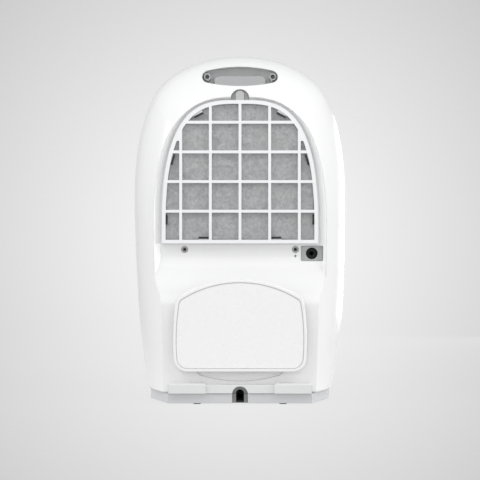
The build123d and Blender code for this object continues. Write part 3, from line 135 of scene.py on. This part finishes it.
class Finish:
    """One procedural material: a Principled shader and the nodes that feed it."""

    def __init__(self, name, **constants):
        self.material = bpy.data.materials.new(name)
        self.material.use_nodes = True
        self.tree = self.material.node_tree
        self.tree.nodes.clear()
        self.shader = self.tree.nodes.new("ShaderNodeBsdfPrincipled")
        output = self.tree.nodes.new("ShaderNodeOutputMaterial")
        self.tree.links.new(self.shader.outputs[0], output.inputs[0])
        for key, value in constants.items():
            self.shader.inputs[key.replace("_", " ").title().replace("Ior", "IOR")].default_value = value
        self.place = self.node("ShaderNodeTexCoord", output="Object")

    def node(self, kind, settings=None, inputs=None, output=0):
        """Adds a node: its settings first, then the values or links of its sockets."""
        node = self.tree.nodes.new(kind)
        for key, value in (settings or {}).items():
            setattr(node, key, value)
        for key, value in (inputs or {}).items():
            if isinstance(value, Value):
                self.tree.links.new(value.socket, node.inputs[key])
            else:
                node.inputs[key].default_value = value
        return Value(self.tree, node.outputs[output])

    def noise(self, scale, detail=3.0, roughness=0.5, stretch=None, distortion=0.0):
        """Noise with features about 1/scale metres across, between 0 and 1."""
        place = self.place
        if stretch:
            place = self.node("ShaderNodeMapping", inputs={"Vector": place, "Scale": stretch})
        return self.node("ShaderNodeTexNoise", inputs={
            "Vector": place, "Scale": scale, "Detail": detail, "Roughness": roughness,
            "Distortion": distortion})

    def cells(self, scale, feature="F1", output="Distance"):
        """Voronoi cells about 1/scale metres across."""
        return self.node("ShaderNodeTexVoronoi", {"feature": feature},
                         {"Vector": self.place, "Scale": scale}, output)

    def ramp(self, factor, low, high, start=0.0, end=1.0):
        """Maps a value from start..end to low..high, clamped."""
        return self.node("ShaderNodeMapRange", {"clamp": True}, {
            "Value": factor, "From Min": start, "From Max": end, "To Min": low, "To Max": high})

    def blend(self, factor, first, second):
        """Mix of two colours."""
        node = self.tree.nodes.new("ShaderNodeMix")
        node.data_type = "RGBA"
        for slot, item in ((node.inputs[0], factor), (node.inputs[6], first), (node.inputs[7], second)):
            if isinstance(item, Value):
                self.tree.links.new(item.socket, slot)
            else:
                slot.default_value = item
        return Value(self.tree, node.outputs[2])

    def inside(self, low, high):
        """1 within a box in the object's frame, 0 outside it."""
        within = None
        for axis in range(3):
            place = self.node("ShaderNodeSeparateXYZ", inputs={"Vector": self.place}, output=axis)
            for operation, limit in (("GREATER_THAN", low[axis]), ("LESS_THAN", high[axis])):
                side = self.node("ShaderNodeMath", {"operation": operation}, {0: place, 1: limit})
                within = side if within is None else within * side
        return within

    def feed(self, **links):
        for key, value in links.items():
            self.tree.links.new(value.socket, self.shader.inputs[key.replace("_", " ").title()])

    def bump(self, height, distance, strength=1.0, edge=0.0):
        """Bump of a height map, over edges rounded by edge metres."""
        inputs = {"Height": height, "Distance": distance, "Strength": strength}
        if edge:
            inputs["Normal"] = self.node("ShaderNodeBevel", {"samples": 6}, {"Radius": edge})
        normal = self.node("ShaderNodeBump", inputs=inputs)
        self.tree.links.new(normal.socket, self.shader.inputs["Normal"])


def grey(level, warm=0.0):
    """Linear grey with a slight warm (positive) or cool (negative) cast."""
    return (level * (1 + warm), level, level * (1 - warm), 1.0)


# ---- finishes -----------------------------------------------------------------------------
def opaque(colour):
    return (*colour, 1.0)


def moulded(name, light, dark, rough, grain, depth, edge=0.0, gloss=0.0, patches=9.0, painted_light_and_shade_boxes=(), shine=0.5):
    """Moulded plastic: faint patches of tone, an uneven sheen and a fine surface grain.

    depth of the grain and edge, the rounding of its edges, are in millimetres.
    Its boxes of painted light and shade list low corner, high corner and grey level; their surfaces take that
    grey, as painted shade in hollows and shaded places and as painted light on the handle's screws."""
    finish = Finish(name, coat_weight=gloss, coat_roughness=0.05, specular_ior_level=shine)
    patch = finish.noise(patches, 3.0, 0.6)
    specks = finish.noise(420.0, 2.0, 0.6)
    tone = finish.ramp(patch * 0.7 + specks * 0.3, 0.0, 1.0, 0.3, 0.7)
    sheen = finish.noise(34.0, 4.0, 0.65)
    colour = finish.blend(tone, opaque(dark), opaque(light))
    # each box lays its grey over the colour: painted shade in hollows, painted light on the handle's screws
    for low, high, level in painted_light_and_shade_boxes:
        colour = finish.blend(finish.inside(low, high), colour, grey(level))
    finish.feed(base_color=colour,
                roughness=finish.ramp(sheen, rough[0], rough[1], 0.3, 0.7))
    finish.bump(finish.noise(grain, 3.0, 0.55), depth * MM, 1.0, edge * MM)
    return finish.material


def felt_finish():
    """Grey needled felt: clumps of tone, loose fibres and dust in warm patches."""
    finish = Finish("filter_felt", sheen_weight=0.25, sheen_roughness=0.5)
    clumps = finish.noise(95.0, 5.0, 0.72, distortion=0.6)
    tufts = finish.cells(300.0, "SMOOTH_F1")
    across = finish.noise(900.0, 3.0, 0.7, (0.16, 1.0, 1.0), 1.2)
    along = finish.noise(900.0, 3.0, 0.7, (1.0, 1.0, 0.16), 1.2)
    fibres = across * 0.5 + along * 0.5
    tone = finish.ramp(clumps * 0.62 + fibres * 0.26 + tufts * 0.25, 0.0, 1.0, 0.3, 0.72)
    dust = finish.ramp(finish.noise(17.0, 4.0, 0.6), 0.0, 0.4, 0.42, 0.68)
    colour = finish.blend(tone, (0.235, 0.24, 0.245, 1), (0.50, 0.505, 0.51, 1))
    colour = finish.blend(dust, colour, (0.425, 0.415, 0.40, 1))
    finish.feed(base_color=colour, roughness=finish.ramp(tone, 0.95, 0.8))
    finish.bump(clumps * 0.5 + fibres * 0.35 + tufts * 0.2, 0.0016, 0.9)
    return finish.material


def metal(name, light, dark, rough, stretch, metallic=1.0, scale=300.0):
    """Drawn or rolled metal: streaks along one way, a clouded tone and small dents."""
    finish = Finish(name, metallic=metallic)
    streaks = finish.noise(scale, 4.0, 0.7, stretch)
    clouds = finish.noise(22.0, 4.0, 0.6)
    tone = finish.ramp(streaks * 0.5 + clouds * 0.5, 0, 1, 0.35, 0.65)
    finish.feed(base_color=finish.blend(tone, dark, light),
                roughness=finish.ramp(streaks * 0.4 + clouds * 0.6, rough[0], rough[1], 0.35, 0.65))
    finish.bump(streaks * 0.7 + clouds * 0.3, 0.0002, 0.6)
    return finish.material


def galvanised(name):
    """Zinc-coated sheet with its crystal pattern."""
    finish = Finish(name, metallic=0.85)
    crystals = finish.cells(120.0, output="Color")
    shade = finish.node("ShaderNodeSeparateColor", inputs={"Color": crystals})
    clouds = finish.noise(30.0, 4.0, 0.6)
    finish.feed(base_color=finish.blend(shade, grey(0.50, -0.02), grey(0.66, -0.01)),
                roughness=finish.ramp(shade * 0.6 + clouds * 0.4, 0.32, 0.55))
    finish.bump(clouds, 0.0002, 0.5)
    return finish.material


def circuit_board(name):
    """Green solder mask over copper tracks."""
    finish = Finish(name)
    tracks = finish.node("ShaderNodeTexBrick", {"offset": 0.37}, {
        "Vector": finish.place, "Scale": 90.0, "Mortar Size": 0.035, "Brick Width": 1.3, "Row Height": 0.32},
        output="Fac")
    dots = finish.ramp(finish.cells(260.0), 1.0, 0.0, 0.10, 0.16)
    clouds = finish.noise(60.0, 3.0, 0.5)
    green = finish.blend(tracks, (0.012, 0.085, 0.035, 1), (0.03, 0.19, 0.075, 1))
    finish.feed(base_color=finish.blend(dots * 0.8, green, (0.62, 0.60, 0.52, 1)),
                roughness=finish.ramp(clouds, 0.25, 0.42))
    finish.bump(tracks * 0.6 + dots * 0.6, 0.00012, 0.7)
    return finish.material


def clear_plastic(name, colour, through, rough):
    """Clear or frosted plastic with flow marks from moulding."""
    finish = Finish(name, transmission_weight=through, ior=1.47)
    flow = finish.noise(26.0, 4.0, 0.6, (1.0, 1.0, 0.35))
    fine = finish.noise(500.0, 2.0, 0.5)
    dull = tuple(c * 0.9 for c in colour[:3]) + (1.0,)
    finish.feed(base_color=finish.blend(finish.ramp(flow, 0, 1, 0.35, 0.65), dull, colour),
                roughness=finish.ramp(flow * 0.7 + fine * 0.3, rough[0], rough[1], 0.3, 0.7))
    finish.bump(flow * 0.7 + fine * 0.3, 0.00015, 0.5)
    return finish.material


def glowing(name):
    finish = Finish(name, emission_strength=1.4)
    grain = finish.noise(900.0, 2.0, 0.5)
    finish.feed(base_color=finish.blend(grain, (0.35, 0.75, 0.4, 1), (0.6, 0.95, 0.6, 1)),
                emission_color=finish.blend(grain, (0.15, 0.7, 0.25, 1), (0.35, 1.0, 0.4, 1)),
                roughness=finish.ramp(grain, 0.2, 0.35))
    return finish.material


def painted_light_and_shade_box(x, y, z, level):
    """A box between limits along each axis, with the grey painted on the surfaces inside it as painted shade,
    or as painted light on the handle's screws.
    """
    return (x[0], y[0], z[0]), (x[1], y[1], z[1]), level


def around(centre, half):
    return centre - half, centre + half


def painted_light_and_shade_places():
    """Boxes of painted shade for the cord arch, the shell's screw holes and hinge ears, the drain bore, the
    tongue and the bosses, and of painted light for the bosses' plated screws.
    """
    # painted shade: grey on the cord arch, near black down its channel
    arch = [painted_light_and_shade_box(around(0.0, ARCH_HALF), (ARCH_FRONT, ARCH_REAR), (UNDER_FLOOR, ARCH_TOP), 0.26),
            painted_light_and_shade_box(around(0.0, CHANNEL_HALF), (HOLLOW_FRONT, CHANNEL_REAR),
                      (UNDER_FLOOR, CHANNEL_TOP), 0.008)]
    shaded = list(arch)
    bosses = []
    # painted shade: grey on each screw ring, near black down each screw hole, grey on the hinge ears and on
    # the handle's bosses
    for side in (-1, 1):
        for half, floor, level in ((RING_HALF, RECESS_FLOOR, 0.42), (HOLE_HALF, RING_FLOOR, 0.008)):
            shaded.append(painted_light_and_shade_box(around(side * SCREW_X, half), (HOLLOW_FRONT, floor),
                                    around(SCREW_Z, half), level))
        shaded.append(painted_light_and_shade_box(around(side * EARS_X, EARS_HALF), EARS_Y, EARS_Z, 0.40))
        bosses.append(painted_light_and_shade_box(around(side * BOSS_X, BOSS_HALF), BOSS_Y, BOSS_Z, 0.45))
    # painted shade: black down the drain bore and grey on the filter's tongue in the finger scoop
    bore = [painted_light_and_shade_box((-0.13, -0.09), (0.0, 0.1058), (0.20, 0.25), 0.0)]
    tongue = [painted_light_and_shade_box(around(0.0, 0.01), (0.11, 0.122), (0.4528, 0.47), 0.50)]
    # the handle's screws are plated, and their grey is painted lighter still as painted light against the
    # pocket's shade
    handle_screws = [painted_light_and_shade_box(around(0.0, 0.06), (0.02, 0.12), (0.46, 0.52), 0.85)]
    return arch, shaded, bore, tongue, bosses, handle_screws


def make_finishes():
    white = (0.892, 0.89, 0.885)
    off_white = (0.872, 0.87, 0.865)
    arch, shaded, bore, tongue, bosses, handle_screws = painted_light_and_shade_places()
    return {
        "shell": moulded("shell_white", white, off_white, (0.15, 0.24), grain=520.0, depth=0.02,
                         edge=2.0, gloss=0.35, painted_light_and_shade_boxes=shaded),
        "cap": moulded("cap_white", white, (0.882, 0.88, 0.875), (0.26, 0.29), grain=900.0, depth=0.01,
                       edge=0.4, gloss=0.2, patches=45.0),
        # painted shade: the ledge is the same white plastic as the shell, painted darker where less light
        # falls
        "ledge": moulded("ledge_white", (0.735, 0.735, 0.735), (0.715, 0.715, 0.715), (0.3, 0.4),
                         grain=700.0, depth=0.02, edge=0.8, gloss=0.1, painted_light_and_shade_boxes=arch),
        # painted shade: the base is the same white plastic as the shell, painted darker for the shade under
        # the ledge
        "base": moulded("base_white", (0.60, 0.605, 0.615), (0.57, 0.575, 0.585), (0.26, 0.38),
                        grain=700.0, depth=0.03, edge=1.2, gloss=0.2, painted_light_and_shade_boxes=arch),
        "frame": moulded("frame_white", (0.885, 0.89, 0.90), (0.85, 0.855, 0.865), (0.34, 0.48),
                         grain=1500.0, depth=0.05, edge=0.6, painted_light_and_shade_boxes=tongue),
        "grey": moulded("pocket_grey", (0.86, 0.86, 0.86), (0.82, 0.82, 0.82), (0.38, 0.52),
                        grain=1300.0, depth=0.06, edge=0.6, painted_light_and_shade_boxes=bosses),
        "port": moulded("port_grey", (0.50, 0.505, 0.51), (0.45, 0.455, 0.46), (0.38, 0.52),
                        grain=1300.0, depth=0.06, edge=0.6, painted_light_and_shade_boxes=bore),
        "insert": moulded("insert_grey", (0.45, 0.452, 0.455), (0.41, 0.412, 0.415), (0.5, 0.62),
                          grain=1600.0, depth=0.08, edge=1.6),
        "black": moulded("black_plastic", (0.02, 0.02, 0.021), (0.012, 0.012, 0.012), (0.4, 0.55),
                         grain=1500.0, depth=0.06, edge=0.4),
        "screw": moulded("screw_dark", (0.030, 0.030, 0.031), (0.020, 0.020, 0.021), (0.35, 0.5),
                         grain=900.0, depth=0.04, edge=0.2, painted_light_and_shade_boxes=handle_screws),
        "gland": moulded("gland_black", (0.006, 0.006, 0.006), (0.003, 0.003, 0.003), (0.8, 0.95),
                         grain=900.0, depth=0.04, edge=0.2, shine=0.04),
        "rubber": moulded("rubber", (0.035, 0.035, 0.036), (0.02, 0.02, 0.02), (0.7, 0.85),
                          grain=1100.0, depth=0.1),
        "inner": moulded("inner_grey", (0.075, 0.077, 0.08), (0.055, 0.056, 0.058), (0.5, 0.62),
                         grain=1300.0, depth=0.06, edge=0.6),
        "pale": moulded("pale_plastic", (0.62, 0.62, 0.61), (0.55, 0.55, 0.54), (0.4, 0.55),
                        grain=900.0, depth=0.06),
        "louvre": moulded("louvre_grey", (0.60, 0.605, 0.61), (0.56, 0.565, 0.57), (0.3, 0.42),
                          grain=1300.0, depth=0.04, edge=0.6),
        "panel": moulded("panel_dark", (0.022, 0.023, 0.026), (0.016, 0.017, 0.019), (0.1, 0.2),
                         grain=500.0, depth=0.02, edge=0.8, gloss=0.6),
        "key": moulded("key_grey", (0.60, 0.61, 0.62), (0.56, 0.57, 0.58), (0.34, 0.45),
                       grain=1500.0, depth=0.05, edge=0.9),
        "foam": moulded("float_foam", (0.76, 0.75, 0.70), (0.70, 0.69, 0.64), (0.6, 0.75),
                        grain=600.0, depth=0.2),
        "black_paint": moulded("black_paint", (0.018, 0.018, 0.02), (0.012, 0.012, 0.013), (0.3, 0.45),
                               grain=260.0, depth=0.1, edge=1.0, gloss=0.2),
        "hose": moulded("hose_grey", (0.11, 0.112, 0.12), (0.085, 0.087, 0.09), (0.5, 0.65),
                        grain=900.0, depth=0.1),
        "felt": felt_finish(),
        "fibre": moulded("loose_fibre", (0.62, 0.62, 0.62), (0.40, 0.40, 0.41), (0.6, 0.8),
                         grain=900.0, depth=0.02),
        "steel": metal("plated_steel", grey(0.62), grey(0.50), (0.28, 0.42), (1, 1, 0.2)),
        "can": metal("motor_can", grey(0.40), grey(0.31), (0.35, 0.5), (1, 0.15, 1)),
        "alloy": metal("fin_alloy", grey(0.72, -0.01), grey(0.60, -0.01), (0.3, 0.45), (1, 1, 0.1)),
        "copper": metal("copper_tube", (0.78, 0.40, 0.25, 1), (0.52, 0.24, 0.15, 1), (0.26, 0.46),
                        (0.2, 1, 1)),
        "sheet": galvanised("galvanised_sheet"),
        "board": circuit_board("circuit_board"),
        "bucket": clear_plastic("bucket_frosted", (0.72, 0.77, 0.82, 1), 0.45, (0.32, 0.45)),
        "window": clear_plastic("window_clear", (0.78, 0.86, 0.92, 1), 0.85, (0.05, 0.12)),
        "lens": clear_plastic("lens_smoked", (0.02, 0.022, 0.026, 1), 0.35, (0.04, 0.1)),
        "led": glowing("light_pipe"),
    }


finishes = make_finishes()
FINISH_OF = {
    "shell": ["rear_cover", "front_cover", "tidy_spool", "bucket_fascia"],
    "ledge": ["foot_ledge"],
    "screw": ["casing_screws"],
    "gland": ["cable_gland"],
    "cap": ["tidy_cap"],
    "base": ["base_tray"],
    "frame": ["filter_frame"],
    "grey": ["handle_liner"],
    "port": ["drain_socket"],
    "insert": ["handle_grip"],
    "black": ["filter_clips", "float_switch", "terminal_cover", "capacitor_clip", "fan_wheel"],
    "rubber": ["rubber_feet", "compressor_grommets"],
    "inner": ["fan_shroud", "outlet_duct", "intake_guard"],
    "pale": ["drip_tray"],
    "louvre": ["outlet_grille"],
    "panel": ["control_panel"],
    "key": ["button_power", "button_mode", "button_fan", "humidity_knob"],
    "foam": ["float"],
    "black_paint": ["compressor", "float_magnet"],
    "hose": ["drain_hose"],
    "felt": ["filter_media"],
    "steel": ["filter_pins", "compressor_bolts", "float_pin", "motor_shaft", "motor_bracket"],
    "can": ["fan_motor"],
    "alloy": ["evaporator_fins", "condenser_fins", "run_capacitor"],
    "copper": ["evaporator_tubes", "condenser_tubes", "suction_pipe", "discharge_pipe", "liquid_line",
               "capillary", "filter_drier"],
    "sheet": ["bulkhead", "deck", "compressor_feet"],
    "board": ["control_board", "power_board"],
    "bucket": ["bucket"],
    "window": ["bucket_window"],
    "lens": ["display_lens"],
    "led": ["panel_leds"],
}


def dress_nodes():
    for finish, names in FINISH_OF.items():
        for name in names:
            for slot in nodes[name].material_slots:
                slot.material = finishes[finish]


# ---- filter felt --------------------------------------------------------------------------
def arch_outline(half, low, spring, top):
    """Outline of the arched filter in the XZ plane: flat foot, rounded crown."""
    points = [(half, low)]
    for step in range(61):
        angle = math.radians(1.5 * step)
        x = half * max(math.cos(angle), 0.0) ** 0.618
        points.append((x, spring + (top - spring) * math.sin(angle) ** 0.8))
    return points + [(-x, z) for x, z in reversed(points[:-1])]


def fibre_nodes(thickness):
    """Loose fibres: short bent hairs scattered over a face and lying nearly flat on it."""
    tree = bpy.data.node_groups.new("loose_fibres", "GeometryNodeTree")
    face = tree.interface
    face.new_socket("Geometry", in_out="INPUT", socket_type="NodeSocketGeometry")
    ids = {}
    for label, kind in (("Density", "NodeSocketFloat"), ("Length", "NodeSocketFloat"),
                        ("Seed", "NodeSocketInt"), ("Finish", "NodeSocketMaterial")):
        ids[label] = face.new_socket(label, in_out="INPUT", socket_type=kind).identifier
    face.new_socket("Geometry", in_out="OUTPUT", socket_type="NodeSocketGeometry")

    def add(kind, settings=None, **values):
        node = tree.nodes.new(kind)
        for key, value in (settings or {}).items():
            setattr(node, key, value)
        for key, value in values.items():
            slot = node.inputs[key.replace("_", " ")]
            if isinstance(value, bpy.types.NodeSocket):
                tree.links.new(value, slot)
            else:
                slot.default_value = value
        return node

    start = tree.nodes.new("NodeGroupInput")
    points = add("GeometryNodeDistributePointsOnFaces", {"distribute_method": "RANDOM"},
                 Mesh=start.outputs["Geometry"], Density=start.outputs["Density"], Seed=start.outputs["Seed"])
    arc = add("GeometryNodeCurveQuadraticBezier", Resolution=4, Start=(-0.5, 0.0, 0.0),
              Middle=(0.0, 0.45, 0.22), End=(0.5, 0.0, 0.05))
    ring = add("GeometryNodeCurvePrimitiveCircle", Resolution=3, Radius=thickness)
    hair = add("GeometryNodeCurveToMesh", Curve=arc.outputs[0], Profile_Curve=ring.outputs[0])
    lie = add("FunctionNodeRandomValue", {"data_type": "FLOAT_VECTOR"}, Seed=start.outputs["Seed"])
    lie.inputs[0].default_value = (-0.25, -0.25, 0.0)
    lie.inputs[1].default_value = (0.25, 0.25, 2 * math.pi)
    turn = add("FunctionNodeRotateRotation", {"rotation_space": "LOCAL"}, Rotation=points.outputs["Rotation"])
    tree.links.new(lie.outputs[0], turn.inputs["Rotate By"])
    vary = add("FunctionNodeRandomValue", Seed=start.outputs["Seed"])
    vary.inputs[2].default_value = 0.5
    vary.inputs[3].default_value = 1.5
    long = add("ShaderNodeMath", {"operation": "MULTIPLY"})
    tree.links.new(vary.outputs[1], long.inputs[0])
    tree.links.new(start.outputs["Length"], long.inputs[1])
    hairs = add("GeometryNodeInstanceOnPoints", Points=points.outputs["Points"], Instance=hair.outputs[0],
                Rotation=turn.outputs[0], Scale=long.outputs[0])
    real = add("GeometryNodeRealizeInstances", Geometry=hairs.outputs[0])
    coat = add("GeometryNodeSetMaterial", Geometry=real.outputs[0], Material=start.outputs["Finish"])
    end = tree.nodes.new("NodeGroupOutput")
    tree.links.new(coat.outputs[0], end.inputs[0])
    return tree, ids


def needled_felt():
    """Felt pad of the filter: an uneven, slightly pillowed sheet with loose fibres."""
    low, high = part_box("filter_media")
    half = high[0]
    front, rear = low[1], high[1]
    spring = low[2] + FELT_SPRING
    shape = bmesh.new()
    rim = [shape.verts.new((x, rear, z)) for x, z in arch_outline(half, low[2], spring, high[2])]
    shape.faces.new(rim)
    for axis, start, end in ((0, -half, half), (2, low[2], high[2])):
        place = start + FELT_PITCH
        while place < end - FELT_PITCH / 3:
            normal = [0.0, 0.0, 0.0]
            normal[axis] = 1.0
            spot = [0.0, 0.0, 0.0]
            spot[axis] = place
            bmesh.ops.bisect_plane(shape, geom=shape.verts[:] + shape.edges[:] + shape.faces[:], dist=1e-7,
                                   plane_co=spot, plane_no=normal)
            place += FELT_PITCH
    for vert in shape.verts:
        rough = noise.noise(vert.co * 170.0) * 0.35 + noise.noise(vert.co * 520.0) * 0.2
        vert.co.y = rear + (rough - FELT_SINK) * MM
    back = bmesh.ops.extrude_face_region(shape, geom=shape.faces[:])
    for item in back["geom"]:
        if isinstance(item, bmesh.types.BMVert):
            item.co.y = front
    bmesh.ops.recalc_face_normals(shape, faces=shape.faces[:])
    bmesh.ops.triangulate(shape, faces=[face for face in shape.faces if len(face.verts) > 4])
    for face in shape.faces:
        face.smooth = abs(face.normal.y) > 0.5
    mesh = bpy.data.meshes.new("needled_felt")
    shape.to_mesh(mesh)
    shape.free()
    mesh.materials.append(finishes["felt"])
    felt = bpy.data.objects.new("needled_felt", mesh)
    scene.collection.objects.link(felt)
    return felt


def scatter_fibres(felt):
    """Plain mesh of loose fibres over the felt's outer face."""
    shape = bmesh.new()
    shape.from_mesh(felt.data)
    bmesh.ops.delete(shape, geom=[face for face in shape.faces if face.normal.y < 0.5], context="FACES")
    skin = bpy.data.meshes.new("felt_skin")
    skin.materials.append(finishes["fibre"])
    shape.to_mesh(skin)
    shape.free()
    source = bpy.data.objects.new("felt_skin", skin)
    scene.collection.objects.link(source)
    tree, ids = fibre_nodes(FIBRE_THICKNESS)
    grow = source.modifiers.new("fibres", "NODES")
    grow.node_group = tree
    for label, value in FIBRES + (("Finish", finishes["fibre"]),):
        grow[ids[label]] = value
    bpy.context.view_layer.update()
    result = bpy.data.meshes.new_from_object(source.evaluated_get(bpy.context.evaluated_depsgraph_get()))
    bpy.data.objects.remove(source)
    result.name = "loose_fibres"
    fibres = bpy.data.objects.new("loose_fibres", result)
    scene.collection.objects.link(fibres)
    return fibres


def filter_felt():
    felt = needled_felt()
    low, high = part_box("filter_media")
    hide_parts("filter_media")
    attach(felt, "filter")
    fibres = scatter_fibres(felt)
    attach(fibres, "filter")
    outline = arch_outline(high[0], low[2], low[2] + FELT_SPRING, high[2])
    area = abs(sum(a[0] * b[1] - b[0] * a[1] for a, b in zip(outline, outline[1:] + outline[:1]))) / 2


# ---- studio -------------------------------------------------------------------------------
def studio():
    """Pale paper sweep, soft lights, and the camera behind the machine."""
    mesh = bpy.data.meshes.new("paper_sweep")
    shape = bmesh.new()
    bend = SWEEP_BACK + SWEEP_RADIUS
    steps = 12
    rows = [(SWEEP_REACH, 0.0), (bend, 0.0)]
    for step in range(1, steps + 1):
        angle = math.radians(90 * step / steps)
        rows.append((bend - SWEEP_RADIUS * math.sin(angle), SWEEP_RADIUS - SWEEP_RADIUS * math.cos(angle)))
    rows.append((SWEEP_BACK, SWEEP_REACH))
    ends = [[shape.verts.new((side * SWEEP_WIDTH / 2, y, z)) for y, z in rows] for side in (-1, 1)]
    for index in range(len(rows) - 1):
        shape.faces.new((ends[0][index], ends[0][index + 1], ends[1][index + 1], ends[1][index]))
    bmesh.ops.recalc_face_normals(shape, faces=shape.faces)
    for face in shape.faces:
        face.smooth = True
    shape.to_mesh(mesh)
    shape.free()
    sweep = bpy.data.objects.new("paper_sweep", mesh)
    scene.collection.objects.link(sweep)
    mesh.materials.append(paper_finish())

    for name, place, target, width, tall, power in LIGHTS:
        add_light(name, place, target, width, tall, power)

    world = bpy.data.worlds.new("room")
    world.use_nodes = True
    world.node_tree.nodes["Background"].inputs[0].default_value = (0.97, 0.985, 1.0, 1)
    world.node_tree.nodes["Background"].inputs[1].default_value = ROOM_LIGHT
    scene.world = world
    scene.view_settings.view_transform = "Standard"

    camera = bpy.data.cameras.new("camera")
    camera.lens = LENS
    camera.sensor_width = 36.0
    eye = bpy.data.objects.new("camera", camera)
    eye.location = (0.0, CAMERA_Y, CAMERA_Z)
    eye.rotation_euler = (math.radians(90), 0.0, math.radians(180))
    scene.collection.objects.link(eye)
    scene.camera = eye


def paper_finish():
    """Pale paper that glows: a painted pool of light, brightest along the view behind the machine and fading
    towards the edges of the view.
    """
    paper = Finish("paper", emission_strength=1.0, specular_ior_level=0.0)
    axes = [paper.node("ShaderNodeSeparateXYZ", inputs={"Vector": paper.place}, output=axis)
            for axis in range(3)]
    depth = CAMERA_Y - axes[1]
    across = axes[0] / depth
    up = (axes[2] - CAMERA_Z) / depth
    spread = (across * across + up * up) ** 0.5
    # painted light: the glow fades from the middle of the view outwards
    painted_glow_falloff = paper.ramp(spread, 1.0, 0.0, 0.04, 0.215)
    fibre = paper.noise(60.0, 4.0, 0.6)
    tone = paper.ramp(painted_glow_falloff + fibre * 0.03, 0.0, 1.0, 0.0, 1.03)
    paper.feed(base_color=paper.blend(fibre, grey(0.045), grey(0.06)),
               emission_color=paper.blend(tone, grey(PAPER_EDGE), grey(PAPER_CENTRE)),
               roughness=paper.ramp(fibre, 0.85, 0.95))
    return paper.material


def add_light(name, place, target, width, tall, power):
    lamp = bpy.data.lights.new(name, "AREA")
    lamp.shape = "RECTANGLE"
    lamp.size = width
    lamp.size_y = tall
    lamp.energy = power
    light = bpy.data.objects.new(name, lamp)
    light.location = place
    aim = Vector(target) - Vector(place)
    light.rotation_euler = aim.to_track_quat("-Z", "Y").to_euler()
    light.visible_camera = False
    scene.collection.objects.link(light)


dress_nodes()
filter_felt()
studio()
